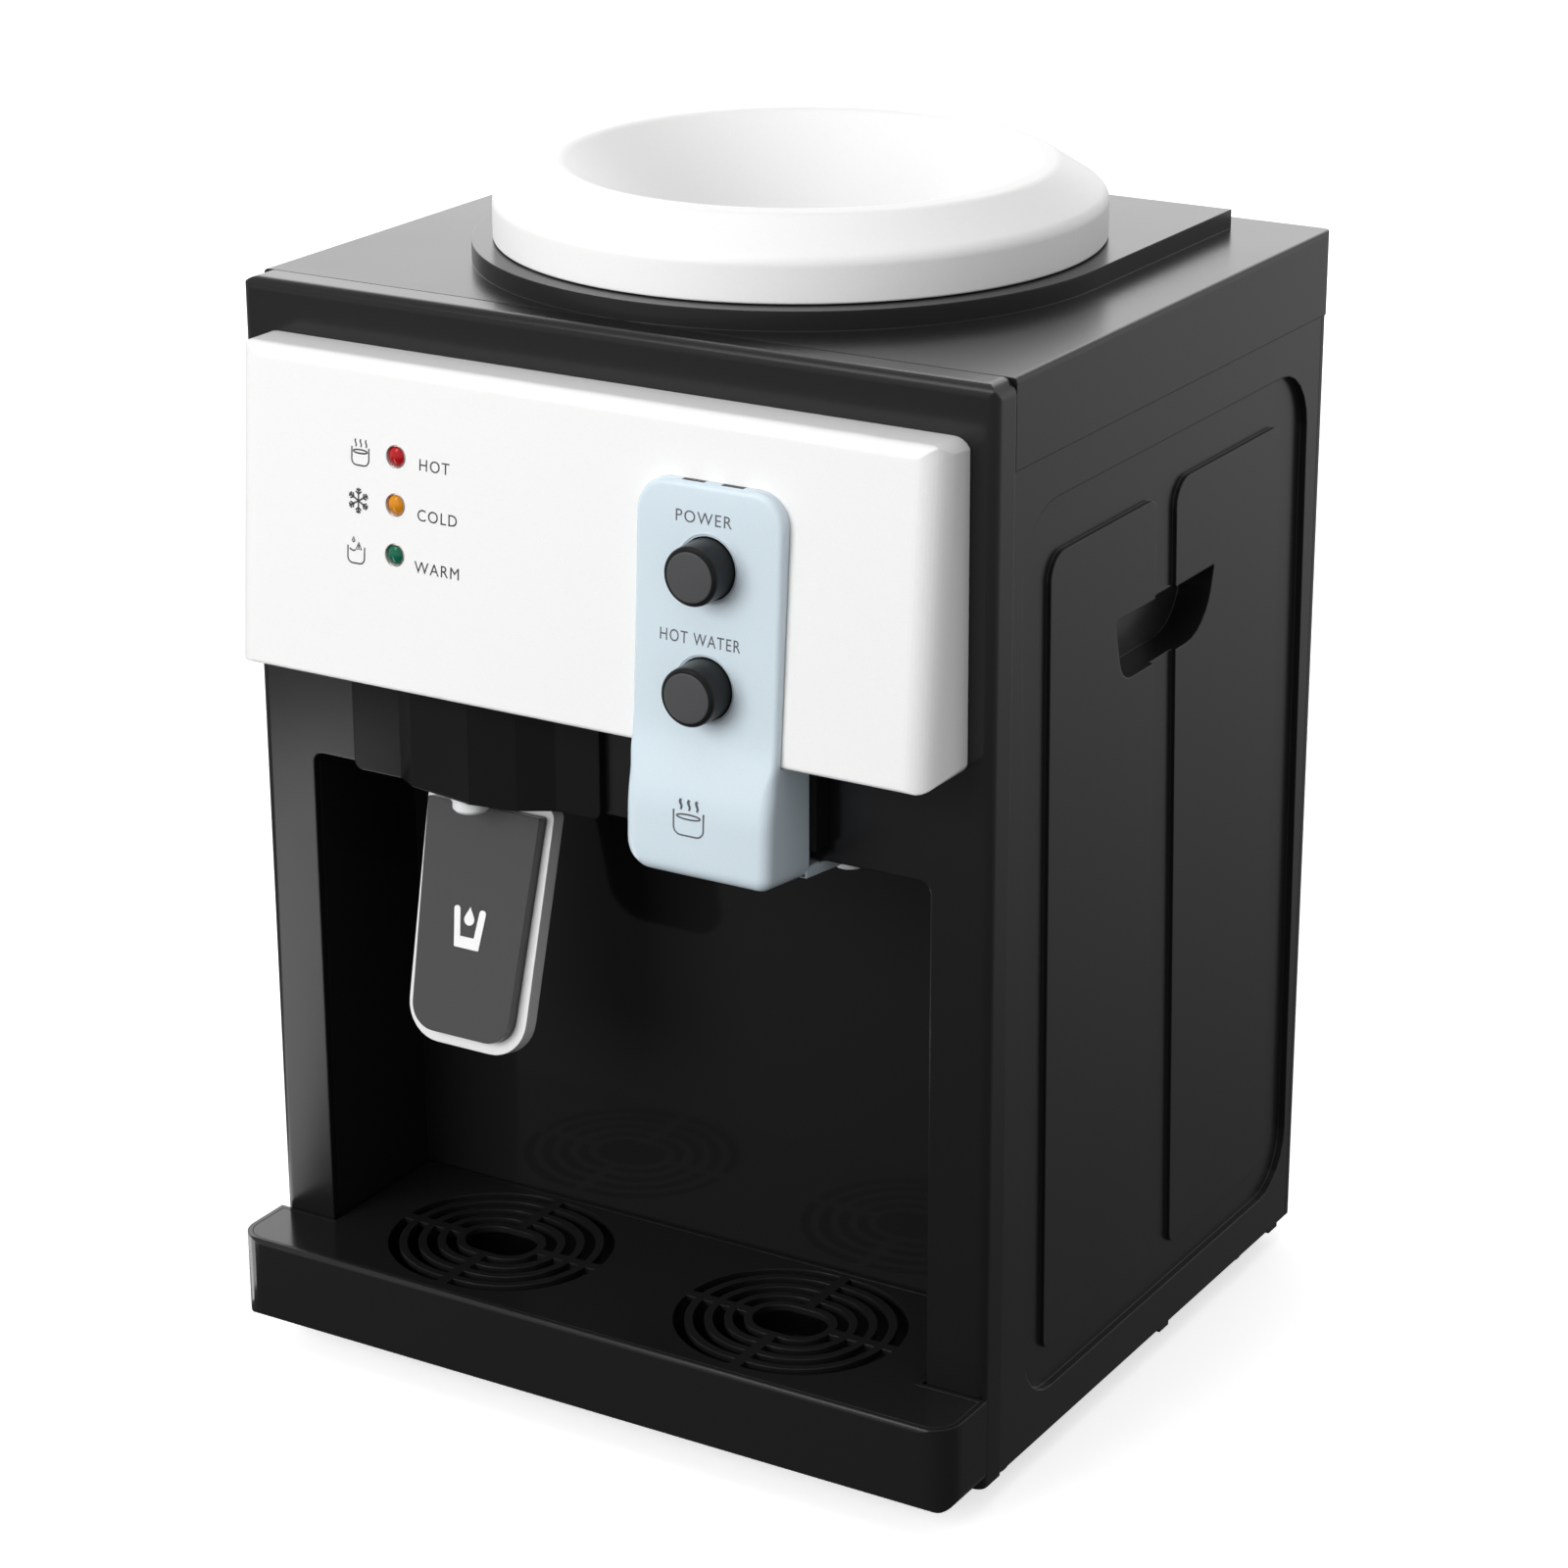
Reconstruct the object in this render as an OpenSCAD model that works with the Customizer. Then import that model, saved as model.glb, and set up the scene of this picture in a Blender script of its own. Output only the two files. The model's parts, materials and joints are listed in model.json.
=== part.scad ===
// Countertop water dispenser, top loading, with a hot tap and a paddle tap.
// Millimetres. +Z is up and -Y is the front. The origin lies on the floor,
// under the middle of the dispenser's overall width and depth.

/* [Body] */
// Width of the black body
body_w = 280; // [270:1:300]
// Depth of the black body, from the front frame's face to the back cover
body_d = 240; // [238:1:260]
// Height of the black body's top above the floor
body_top = 378; // [374:1:390]
// Height of the rubber feet
foot_h = 9; // [6:0.5:12]
// Thickness of the moulded casing walls
wall = 2.5; // [2:0.1:3]

/* [Front] */
// Depth of the front frame's side returns
frame_depth = 12; // [10:1:16]
// Width of the dispensing opening
bay_w = 238; // [220:1:240]
// Height of the dispensing opening's top edge above the floor
bay_top = 217; // [212:1:220]
// Depth of the dispensing bay behind the front frame's face
bay_depth = 57; // [54:1:60]
// Height of the white fascia's lower edge
fascia_low = 255; // [254:1:258]
// Height of the white fascia's upper edge
fascia_high = 361.5; // [358:0.5:364]
// How far the fascia's upper edge stands in front of the frame
fascia_head = 16.5; // [15:0.5:18]
// How far the fascia's lower edge stands in front of the frame
fascia_foot = 25; // [23:0.5:26]

/* [Taps] */
// Sideways place of the cold tap's housing
tap_x = -50.5; // [-52:0.5:-49]
// Sideways place of the paddle and the cold spout
paddle_x = -53.5; // [-56:0.5:-53]
// Sideways place of the hot tap
hot_x = 53.5; // [52:0.5:55]
// Width of the hot tap's cover
hot_w = 53; // [51:0.5:55]
// Radius of the push buttons
button_r = 9.8; // [9:0.1:10.5]
// Width of the paddle at its upper end
paddle_w = 50.6; // [46:0.2:51]
// Forward lean of the paddle at rest, in degrees
paddle_tilt = 14; // [12:0.2:15]

/* [Tray] */
// Height of the drip tray's top face
tray_top = 42.5; // [40:0.5:44]
// How far the tray's front bar stands in front of the frame
tray_reach = 27; // [24:0.5:30]
// Width of the tray's front bar
tray_w = 283; // [281:0.5:286]

/* [Bottle seat] */
// Outer radius of the white bottle seat
seat_r = 102.2; // [98:0.2:104]
// Radius of the seat's rounded crest
rim_r = 82.6; // [78:0.2:84]
// Height of the seat's crest above the floor
seat_top = 410.5; // [408:0.5:414]
// Radius of the throat that takes the bottle's neck
throat_r = 29.5; // [28:0.5:31]

/* [Hidden] */
$fn = 64;

// Small gap between neighbouring pieces
gap = 0.3;
// Overshoot that keeps cutters clear of the faces they pass
over = 1;
half_w = body_w / 2;
back_spacer = 6;
hot_button_reach = 37;
power_button_reach = 34.5;
// Depth of the middle of the whole dispenser behind the frame's face
middle_y = (body_d + back_spacer - hot_button_reach) / 2;

// Casing
case_low = foot_h;
skirt_low = body_top - 29;
cover_back = body_d;
panel_face = half_w - 0.8;
panel_back = body_d - 5;
pan_top = case_low + wall;

// Raised deck that carries the bottle seat
seat_y = 121.6;
deck_r = 109.3;
deck_top = body_top + 6.5;
deck_back = body_d - 16;
deck_hole_r = 66;
throat_low = 322;

// Reservoirs
cold_r = 48;
cold_low = 250;
cold_top = 376;
collar_r = 70;
cold_z = 300;
hot_r = 42;
hot_tank_x = 58;
hot_tank_y = 150;
hot_low = 95;
hot_high = 205;

// Thermoelectric stack and fan, one behind the other
block_back = seat_y + cold_r + 14;
module_back = block_back + 4.2;
sink_back = module_back + 20.2;
fan_front = sink_back + 0.5;
fan_depth = 25;
fan_size = 80;
fan_hub_r = 16;
fan_shaft_r = 2;

// Paddle pivot
pivot_y = 15;
pivot_z = 228;
pin_r = 2;
pin_clear = 0.05;
// Depth of the silver rim's face behind the pivot's plane, and how far the dark pad stands in front of it
paddle_face = 0;
pad_proud = 4.2;
pad_seat = 0.8;
paddle_low = -104.6;
paddle_high = -18.6;
paddle_thick = 6;

// Indicator lenses: place across the fascia and heights above the floor
lens_x = -66.2;
lens_r = 3.2;
hot_lens_z = 332;
cold_lens_z = 316.3;
warm_lens_z = 300;

// Push buttons: heights above the floor and travel
power_z = 315;
hot_z = 277;
button_travel = 4;

// Ring slots in the tray's lid
ring_x = 58.5;
ring_y = 15.5;
ring_count = 5;
ring_pitch = 6.65;
ring_outer_r = 36;
ring_straight = 8;
slot_w = 3.8;
rib_w = 4;

// Rear services
service_x = -88;
drain_x = 58;
drain_z = 34;
rocker_tip = 7;

// ---------------------------------------------------------------- helpers

// Moves a piece from the frame's own face to the shared origin
module at_front() {
    translate([0, -middle_y, 0]) children();
}

function unit(v) = v / norm(v);

function arc_points(centre, r, from, sweep, steps) =
    [for (i = [0:steps]) centre + r * [cos(from + sweep * i / steps), sin(from + sweep * i / steps)]];

function short_sweep(a) = a > 180 ? a - 360 : (a < -180 ? a + 360 : a);

// Points of one rounded corner at p, between its neighbours a and b
function corner_points(a, p, b, r, steps) =
    let (
        u = unit(a - p),
        v = unit(b - p),
        half = acos(max(-1, min(1, u * v))) / 2,
        centre = p + unit(u + v) * r / sin(half),
        first = p + u * r / tan(half) - centre,
        last = p + v * r / tan(half) - centre,
        from = atan2(first[1], first[0])
    )
    arc_points(centre, r, from, short_sweep(atan2(last[1], last[0]) - from), steps);

// Outline through the given points, each corner rounded to its own radius
function soft_outline(points, radii, steps = 6) =
    let (n = len(points))
    [for (i = [0:n - 1])
        each (radii[i] > 0
            ? corner_points(points[(i + n - 1) % n], points[i], points[(i + 1) % n], radii[i], steps)
            : [points[i]])];

module soft_shape(points, radii, steps = 6) {
    polygon(soft_outline(points, radii, steps));
}

// Rectangle centred on the origin with round corners
module round_rect(w, h, r) {
    square([w - 2 * r, h], center = true);
    square([w, h - 2 * r], center = true);
    for (sx = [-1, 1], sy = [-1, 1]) {
        translate([sx * (w / 2 - r), sy * (h / 2 - r)]) circle(r);
    }
}

// Stands a drawing of x and z upright, from y_from back to y_to
module upright(y_from, y_to) {
    translate([0, y_to, 0]) rotate([90, 0, 0]) linear_extrude(y_to - y_from) children();
}

// Turns a drawing of y and z into a solid that runs along x
module along_x(x_from, x_to) {
    translate([x_from, 0, 0])
        multmatrix([[0, 0, 1, 0], [1, 0, 0, 0], [0, 1, 0, 0], [0, 0, 0, 1]])
            linear_extrude(x_to - x_from) children();
}

// Box by its low and high corners
module block(low, high) {
    translate(low) cube(high - low);
}

// Round bar along y
module rod_y(x, z, r, y_from, y_to) {
    translate([x, y_to, z]) rotate([90, 0, 0]) cylinder(h = y_to - y_from, r = r);
}

// Round bar along x
module rod_x(y, z, r, x_from, x_to) {
    translate([x_from, y, z]) rotate([0, 90, 0]) cylinder(h = x_to - x_from, r = r);
}

// Round bar along z
module rod_z(x, y, r, z_from, z_to) {
    translate([x, y, z_from]) cylinder(h = z_to - z_from, r = r);
}

// Straight round run between two points
module run(a, b, r) {
    d = b - a;
    translate(a)
        rotate([0, acos(d[2] / norm(d)), atan2(d[1], d[0])])
            cylinder(h = norm(d), r = r, $fn = 48);
}

// Hose or wire through a list of points, with ball corners
module hose(points, r) {
    for (i = [0:len(points) - 2]) run(points[i], points[i + 1], r);
    for (i = [1:len(points) - 2]) translate(points[i]) sphere(r + 0.2, $fn = 48);
}

// Coil spring that winds up along z from the origin
module coil(r, wire, pitch, turns, steps = 14, sides = 8) {
    last = steps * turns;
    points = [for (i = [0:last], k = [0:sides - 1])
        let (a = 360 * i / steps, b = 360 * k / sides, reach = r + wire * cos(b))
        [reach * cos(a), reach * sin(a), pitch * i / steps + wire * sin(b)]];
    sides_first = [for (i = [0:last - 1], k = [0:sides - 1])
        [i * sides + k, (i + 1) * sides + (k + 1) % sides, (i + 1) * sides + k]];
    sides_second = [for (i = [0:last - 1], k = [0:sides - 1])
        [i * sides + k, i * sides + (k + 1) % sides, (i + 1) * sides + (k + 1) % sides]];
    near_cap = [[for (k = [0:sides - 1]) sides - 1 - k]];
    far_cap = [[for (k = [0:sides - 1]) last * sides + k]];
    polyhedron(points, concat(sides_first, sides_second, near_cap, far_cap));
}

// Depth of the fascia's outer face at height z, in front of the frame
function fascia_y(z) =
    -fascia_head - (fascia_foot - fascia_head) * (fascia_high - z) / (fascia_high - fascia_low);

// ---------------------------------------------------------------- casing

module base_pan() {
    color("#1d1d1f") at_front() difference() {
        union() {
            block([-half_w + 6, frame_depth + 2, case_low], [half_w - 6, panel_back - 1, pan_top]);
            block([-bay_w / 2 + 1, 0.5, case_low], [bay_w / 2 - 1, frame_depth + 3, pan_top]);
            for (side = [-1, 1]) {
                mirror([side < 0 ? 1 : 0, 0, 0])
                    block([half_w - 8.5, 66, pan_top], [half_w - 6, panel_back - 1, pan_top + 12]);
            }
            block([-half_w + 6, 66, pan_top], [half_w - 6, 68.5, pan_top + 9]);
            for (y = [110, 190]) block([-100, y, pan_top], [100, y + 2.5, pan_top + 5]);
            for (x = [-60, 60]) block([x - 2, 2, pan_top - 0.1], [x + 2, 50, tray_low - gap]);
        }
        for (i = [0:6]) block([-104 + i * 12, 125, case_low - over], [-99 + i * 12, 175, pan_top + over]);
    }
}

module frame_outline() {
    translate([0, (case_low + body_top) / 2])
        round_rect(body_w, body_top - case_low, 5);
    translate([-half_w, case_low]) square([body_w, 20]);
}

module bay_outline(grow) {
    half = bay_w / 2 + grow;
    soft_shape(
        [[-half, case_low - over], [half, case_low - over], [half, bay_top + grow], [-half, bay_top + grow]],
        [0, 0, 4, 4]
    );
}

module front_frame() {
    lining = 3;
    color("#232325") at_front() difference() {
        intersection() {
            upright(0, frame_depth) frame_outline();
            translate([0, 0, case_low - over]) linear_extrude(body_top)
                soft_shape(
                    [[-half_w, 0], [half_w, 0], [half_w, frame_depth], [-half_w, frame_depth]],
                    [3.2, 3.2, 0, 0]
                );
            along_x(-half_w - over, half_w + over)
                soft_shape(
                    [[0, case_low - over], [frame_depth, case_low - over], [frame_depth, body_top], [0, body_top]],
                    [0, 0, 0, 3.6]
                );
        }
        block([-half_w + wall, lining, case_low - over], [half_w - wall, frame_depth + over, body_top - wall]);
        upright(-over, lining + over) bay_outline(0);
        block([-100, -over, 262], [100, lining + over, 350]);
        block([paddle_x - 20, -over, bay_top - over], [paddle_x + 20, lining + over, 252]);
        block([hot_x - 19, -over, bay_top - over], [hot_x + 22, lining + over, 258]);
    }
}

module bay_liner() {
    half = bay_w / 2;
    color("#151516") at_front() difference() {
        block([-half - wall, 3 + gap, pan_top + gap], [half + wall, bay_depth + wall, bay_top + wall]);
        block([-half, -over, case_low], [half, bay_depth, bay_top]);
        block([paddle_x - 14, 2, bay_top - over], [paddle_x + 14, 42, bay_top + wall + over]);
        block([hot_x - 20, 2, bay_top - over], [spout_x + 7.5, spout_y + 7, bay_top + wall + over]);
    }
}

module deck_shape(r, back) {
    translate([0, seat_y]) circle(r, $fn = 128);
    translate([-r, seat_y]) square([2 * r, back - seat_y]);
}

module top_cover() {
    front = frame_depth + gap;
    color("#262628") at_front() difference() {
        union() {
            intersection() {
                translate([0, 0, skirt_low]) linear_extrude(body_top - skirt_low)
                    soft_shape(
                        [[-half_w, front], [half_w, front], [half_w, cover_back], [-half_w, cover_back]],
                        [0, 0, 4, 4]
                    );
                upright(front - over, cover_back + over)
                    soft_shape(
                        [[-half_w, skirt_low - over], [half_w, skirt_low - over],
                         [half_w, body_top], [-half_w, body_top]],
                        [0, 0, 1.6, 1.6]
                    );
            }
            translate([0, 0, body_top - over]) linear_extrude(deck_top - body_top + over)
                deck_shape(deck_r, deck_back);
        }
        block([-half_w + wall, front + wall, skirt_low - over], [half_w - wall, cover_back - wall, body_top - wall]);
        translate([0, 0, body_top - wall - over]) linear_extrude(deck_top - wall - body_top + wall + over)
            deck_shape(deck_r - wall, deck_back - wall);
        rod_z(0, seat_y, deck_hole_r, body_top, deck_top + over);
    }
}

// Outline of the side panel's sunk field, in depth and height
recess_points = [[18.5, 334], [30, 25], [232, 25], [226, 334]];
recess_radii = [22, 20, 20, 22];
field_one = [[40, 315], [45, 39], [116, 39], [113, 315]];
field_two = [[127.5, 317], [139, 38], [216, 38], [206, 317]];
field_radii = [9, 4, 4, 4];

// Outline of the finger grip: flat top, a tight front corner and a wide rear corner
module grip_shape(grow) {
    soft_shape(
        [[85 - grow, 281 + grow], [91 - grow, 259 - grow], [152 + grow, 259 - grow], [158 + grow, 281 + grow]],
        [2, 9 + grow, 19 + grow, 1]
    );
}

module right_panel_solid() {
    sunk = 2.6;
    raised = 1.6;
    floor_face = panel_face - sunk;
    grip_depth = 13;
    front = frame_depth + gap;
    difference() {
        union() {
            difference() {
                union() {
                    along_x(panel_face - wall, panel_face)
                        polygon([[front, case_low], [panel_back, case_low], [panel_back, skirt_low - gap],
                                 [front, skirt_low - gap]]);
                    along_x(floor_face - wall, panel_face - 0.5)
                        soft_shape([for (p = recess_points) p + [p[0] > 100 ? 2 : -2, p[1] > 100 ? 2 : -2]],
                                   recess_radii);
                }
                along_x(floor_face, panel_face + over) soft_shape(recess_points, recess_radii);
            }
            along_x(floor_face - 0.1, floor_face + raised) soft_shape(field_one, field_radii);
            along_x(floor_face - 0.1, floor_face + raised) soft_shape(field_two, field_radii);
            block([panel_face - 2 * wall, front + 4, skirt_low - 8],
                  [panel_face - wall + 0.1, panel_back - 4, skirt_low + 8]);
            block([panel_face - 2 * wall, front + 1, case_low + 4],
                  [panel_face - wall + 0.1, front + 4, skirt_low - gap]);
            for (y = [132, 222]) block([panel_face - wall, y, case_low - 2], [panel_face - 0.4, y + 7, case_low + 0.1]);
            along_x(panel_face - grip_depth - 2, floor_face) grip_shape(2);
            block([panel_face - grip_depth - 2, 92, 270], [panel_face - sunk - wall + 0.1, 151, 296]);
        }
        along_x(panel_face - grip_depth, panel_face + over) grip_shape(0);
        block([panel_face - grip_depth, 94, 270], [panel_face - sunk - wall - 0.6, 149, 294]);
    }
}

module left_side_panel() {
    color("#242426") at_front() mirror([1, 0, 0]) right_panel_solid();
}

module right_side_panel() {
    color("#242426") at_front() right_panel_solid();
}

module back_cover() {
    inner = cover_back - wall;
    color("#1f1f21") at_front() difference() {
        union() {
            intersection() {
                block([-panel_face, panel_back + gap, case_low], [panel_face, cover_back, skirt_low - gap]);
                translate([0, 0, case_low - over]) linear_extrude(body_top)
                    soft_shape(
                        [[-panel_face, 200], [panel_face, 200], [panel_face, cover_back], [-panel_face, cover_back]],
                        [0, 0, 3, 3]
                    );
            }
            for (x = [-100, 100], z = [120, 330]) {
                translate([x, cover_back - over, z]) rotate([-90, 0, 0])
                    cylinder(h = back_spacer + over, r1 = 9, r2 = 7);
            }
        }
        block([-panel_face + wall, panel_back - over, case_low + wall],
              [panel_face - wall, inner, skirt_low - wall - gap]);
        for (k = [0:4]) {
            upright(inner - over, cover_back + over) translate([0, cold_z]) difference() {
                circle(10.5 + k * 7);
                circle(7 + k * 7);
                square([3.2, 100], center = true);
                square([100, 3.2], center = true);
            }
        }
        for (row = [0:8], side = [-1, 1]) {
            upright(inner - over, cover_back + over) translate([side * 46, 120 + row * 12]) round_rect(64, 3.8, 1.8);
        }
        upright(inner - over, cover_back + over) translate([service_x, 45]) round_rect(28, 20.5, 2);
        upright(inner - over, cover_back + over) translate([service_x, 80]) round_rect(29, 24.5, 2);
        rod_y(drain_x, drain_z, 10.5, inner - over, cover_back + over);
        for (x = [-126, 126], z = [24, 185, 336]) rod_y(x, z, 1.9, inner - over, cover_back + over);
    }
}

module feet() {
    color("#141414") at_front() for (x = [-1, 1], y = [30, body_d - 30]) {
        translate([x * (half_w - 17), y, 0]) rotate_extrude()
            soft_shape([[0, 0], [9.5, 0], [11, foot_h], [0, foot_h]], [0, 1.2, 0, 0], 4);
    }
}

module case_screws() {
    head_y = cover_back;
    color("#8a8a8e") at_front() for (x = [-126, 126], z = [24, 185, 336]) difference() {
        union() {
            translate([x, head_y + 2.2, z]) rotate([90, 0, 0]) cylinder(h = 2.2, r1 = 2.4, r2 = 3.6);
            rod_y(x, z, 1.5, panel_back - 6, head_y + 0.5);
        }
        block([x - 2.2, head_y + 1.1, z - 0.45], [x + 2.2, head_y + 3, z + 0.45]);
        block([x - 0.45, head_y + 1.1, z - 2.2], [x + 0.45, head_y + 3, z + 2.2]);
    }
}

// ---------------------------------------------------------------- fascia and indicators

module fascia_block(inset, back) {
    half = half_w - 8.2 - inset;
    high = fascia_high - inset;
    low = fascia_low + inset;
    lean = atan((fascia_foot - fascia_head) / (fascia_high - fascia_low));
    intersection() {
        along_x(-half, half)
            soft_shape(
                [[back, low], [back, high], [-fascia_head + inset, high], [-fascia_foot + inset, low]],
                [0, 0, max(0.5, 4.5 - inset), 1.4]
            );
        translate([0, -fascia_foot + inset, low]) rotate([-lean, 0, 0]) translate([0, 0, -20])
            linear_extrude(high - low + 40)
                soft_shape(
                    [[-half, 30], [-half + 1.2, 0], [half - 1.2, 0], [half, 30]],
                    [0, 9 - inset, 9 - inset, 0], 10
                );
        upright(-60, back + over)
            soft_shape([[-half, low], [half, low], [half, high], [-half, high]],
                       [5 - inset, 5 - inset, 6 - inset, 6 - inset]);
    }
}

module fascia() {
    color("#f2f2f1") at_front() difference() {
        fascia_block(0, -0.2);
        fascia_block(wall, over);
        for (z = [hot_lens_z, cold_lens_z, warm_lens_z]) rod_y(lens_x, z, lens_r + 0.15, -40, 5);
        for (z = [power_z, hot_z]) rod_y(hot_x, z, button_r + 1.4, -40, 5);
    }
}

module lens(z) {
    face = fascia_y(z) + 0.6;
    translate([lens_x, face, z]) rotate([-90, 0, 0]) difference() {
        union() {
            cylinder(h = 6, r = lens_r, $fn = 32);
            intersection() {
                translate([0, 0, 2.6]) sphere(r = 4.1, $fn = 32);
                translate([0, 0, -3]) cylinder(h = 5, r = lens_r, $fn = 32);
            }
        }
        translate([0, 0, 4]) cylinder(h = 5, r = lens_r - 1, $fn = 32);
    }
}

module hot_lens() {
    color("#c1121f") at_front() lens(hot_lens_z);
}

module cold_lens() {
    color("#e09010") at_front() lens(cold_lens_z);
}

module warm_lens() {
    color("#0f6b4a") at_front() lens(warm_lens_z);
}

module indicator_board() {
    color("#1f5c34") at_front() union() {
        block([lens_x - 9, -8, warm_lens_z - 12], [lens_x + 9, -6.4, hot_lens_z + 12]);
        for (z = [hot_lens_z, cold_lens_z, warm_lens_z]) rod_y(lens_x, z, 1.7, -12, -7.5);
        block([lens_x - 5, -6.5, warm_lens_z - 10], [lens_x + 5, -2.5, warm_lens_z - 3]);
    }
}

// ---------------------------------------------------------------- hot tap

// Side view of the hot tap's cover, in depth and height
cover_low = 216;
cover_high = 341;
cover_profile = [
    [fascia_y(cover_high) - 0.15, cover_high], [-22.4, cover_high], [-27.6, 258], [-32.8, 240], [-33.6, cover_low],
    [12, cover_low - 5], [34, cover_low - 7.6]
];
cover_skirt_back = -8;
// Sideways place, depth and radius of the hot spout
spout_x = 73.5;
spout_y = 28.5;
spout_r = 4.8;

module cover_front_shape() {
    w = hot_w / 2;
    translate([hot_x, 0])
        soft_shape(
            [[-w, cover_low - 8], [w, cover_low - 8], [w, cover_high], [-w, cover_high]],
            [1, 1, 11, 11], 10
        );
}

module cover_solid(inset) {
    p = cover_profile;
    intersection() {
        along_x(hot_x - hot_w / 2 + inset, hot_x + hot_w / 2 - inset)
            soft_shape(
                [[p[0][0], p[0][1] + over], p[0], [p[1][0] + inset, p[1][1] - inset], [p[2][0] + inset, p[2][1]],
                 [p[3][0] + inset, p[3][1] - inset / 3], [p[4][0] + inset, p[4][1] + inset],
                 [p[5][0], p[5][1] + inset], [p[6][0], p[6][1] + inset], [p[6][0], p[6][1] + 4],
                 [p[5][0], p[5][1] + 4.5], [-gap, bay_top - gap], [cover_skirt_back, 222],
                 [cover_skirt_back, fascia_low - 0.4], [-fascia_foot - 0.15, fascia_low - 0.4]],
                [0, 0, 2, 26, 14, 5, 0, 0, 0, 0, 0, 0, 0, 0], 8
            );
        upright(-80, 60) cover_front_shape();
        translate([0, 0, 190]) linear_extrude(160)
            soft_shape(
                [[hot_x - hot_w / 2, p[4][0]], [hot_x + hot_w / 2, p[4][0]], [hot_x + hot_w / 2, 60],
                 [hot_x - hot_w / 2, 60]],
                [3.5, 3.5, 0, 0]
            );
    }
}

module hot_tap_housing() {
    w = hot_w / 2;
    color("#c9dbe8") at_front() difference() {
        cover_solid(0);
        along_x(hot_x - w + wall, hot_x + w - wall)
            polygon([[-24, fascia_low - 0.5], [-29.5, 240], [-30.4, cover_low + 3.5], [-8, cover_low + 1],
                     [0, cover_low + 9], [0, fascia_low + 0.5]]);
        block([hot_x - w - over, 0, 200], [hot_x + 12, 40, 260]);
        block([hot_x - w - over, cover_skirt_back, 219.5], [hot_x + w + over, 0.5, 260]);
        rod_z(spout_x, spout_y, spout_r + gap, 200, 230);
        difference() {
            block([hot_x - w - over, -60, 200], [hot_x - w + 7, 60, cover_low + 7.2]);
            rod_y(hot_x - w + 7, cover_low + 7.2, 7, -61, 61);
        }
        for (x = [-11, 3]) block([hot_x + x, -40, cover_high - 1.2], [hot_x + x + 8, -18.4, cover_high + 2 * over]);
        for (z = [power_z, hot_z]) rod_y(hot_x, z, button_r + 0.35, -60, 0);
    }
}

module hot_tap_body() {
    w = hot_w / 2;
    color("#1a1a1b") at_front() difference() {
        union() {
            block([hot_x - w + 1, cover_skirt_back + gap, 222.5], [hot_x + w + 2.3, -0.2, fascia_low - gap]);
            block([hot_x - w + 4, -20, 222.5], [hot_x + w - 4, cover_skirt_back + 1, fascia_low - 8]);
        }
        block([hot_x - w + 6, -18, 220], [hot_x + w - 6, -2, fascia_low - 12]);
    }
}

module push_button(z, reach, foot) {
    translate([hot_x, -reach, z]) rotate([-90, 0, 0]) {
        rotate_extrude()
            soft_shape([[0, 0], [button_r - 0.3, 0], [button_r, 14], [button_r, foot], [0, foot]],
                       [0, 1.3, 0, 0.4, 0], 6);
        translate([0, 0, foot - 0.1]) cylinder(h = reach - foot, r = 3);
    }
}

module power_button() {
    color("#2c2d2f") at_front() push_button(power_z, power_button_reach, 19);
}

module hot_water_button() {
    color("#2c2d2f") at_front() push_button(hot_z, hot_button_reach, 19);
}

// Plate behind the fascia that the buttons' stems run in
module button_guide() {
    color("#2a2a2c") at_front() difference() {
        block([hot_x - 18, -5.5, 262], [hot_x + 18, -3, 331]);
        for (z = [power_z, hot_z]) rod_y(hot_x, z, 3.25, -10, 5);
    }
}

// Return spring between a button's skirt and its guide
module button_spring(z, from, to) {
    wire = 0.5;
    turns = 3;
    translate([hot_x, from + wire, z]) rotate([-90, 0, 0]) coil(5.4, wire, (to - from - 2 * wire) / turns, turns);
}

module power_spring() {
    color("#9fa2a6") at_front() button_spring(power_z, -15.2, -5.8);
}

module hot_spring() {
    color("#9fa2a6") at_front() button_spring(hot_z, -17.7, -5.8);
}

module button_switches() {
    color("#e8e4da") at_front() for (z = [power_z, hot_z]) {
        difference() {
            block([hot_x - 10, 0.6, z - 11], [hot_x + 10, 18, z + 11]);
            rod_y(hot_x, z, 4, -1, 10);
        }
        for (dx = [-5, 5]) block([hot_x + dx - 0.4, 18, z - 3], [hot_x + dx + 0.4, 25, z + 3]);
        for (dz = [-12.5, 12.5]) block([hot_x - 10, -2.8, z + dz - 1.4], [hot_x + 10, 10, z + dz + 1.4]);
    }
}

module hot_valve() {
    color("#d9d4c8") at_front() difference() {
        union() {
            block([hot_x - 16, 6, 224], [hot_x + 4, 26, 240]);
            rod_z(hot_x - 8, 16, 5, 239, 247);
        }
        rod_z(hot_x - 8, 16, 2.5, 236, 248);
    }
}

module hot_spout() {
    color("#dfe9ef") at_front() difference() {
        union() {
            rod_z(spout_x, spout_y, spout_r, 204.6, 234);
            block([hot_x + 4.1, 17, 226], [spout_x, 25.5, 234]);
            block([spout_x - spout_r, 22, 226], [spout_x + spout_r, spout_y, 234]);
        }
        rod_z(spout_x, spout_y, spout_r - 1.6, 204, 232);
    }
}

// ---------------------------------------------------------------- cold tap

tap_low = 215.5;
tap_half = 49;
// Plan of the tap housing's faceted bulge
bulge = [[-30, -3], [-22, -8], [4, -12.5], [21, -9.5], [32, -3]];

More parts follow.
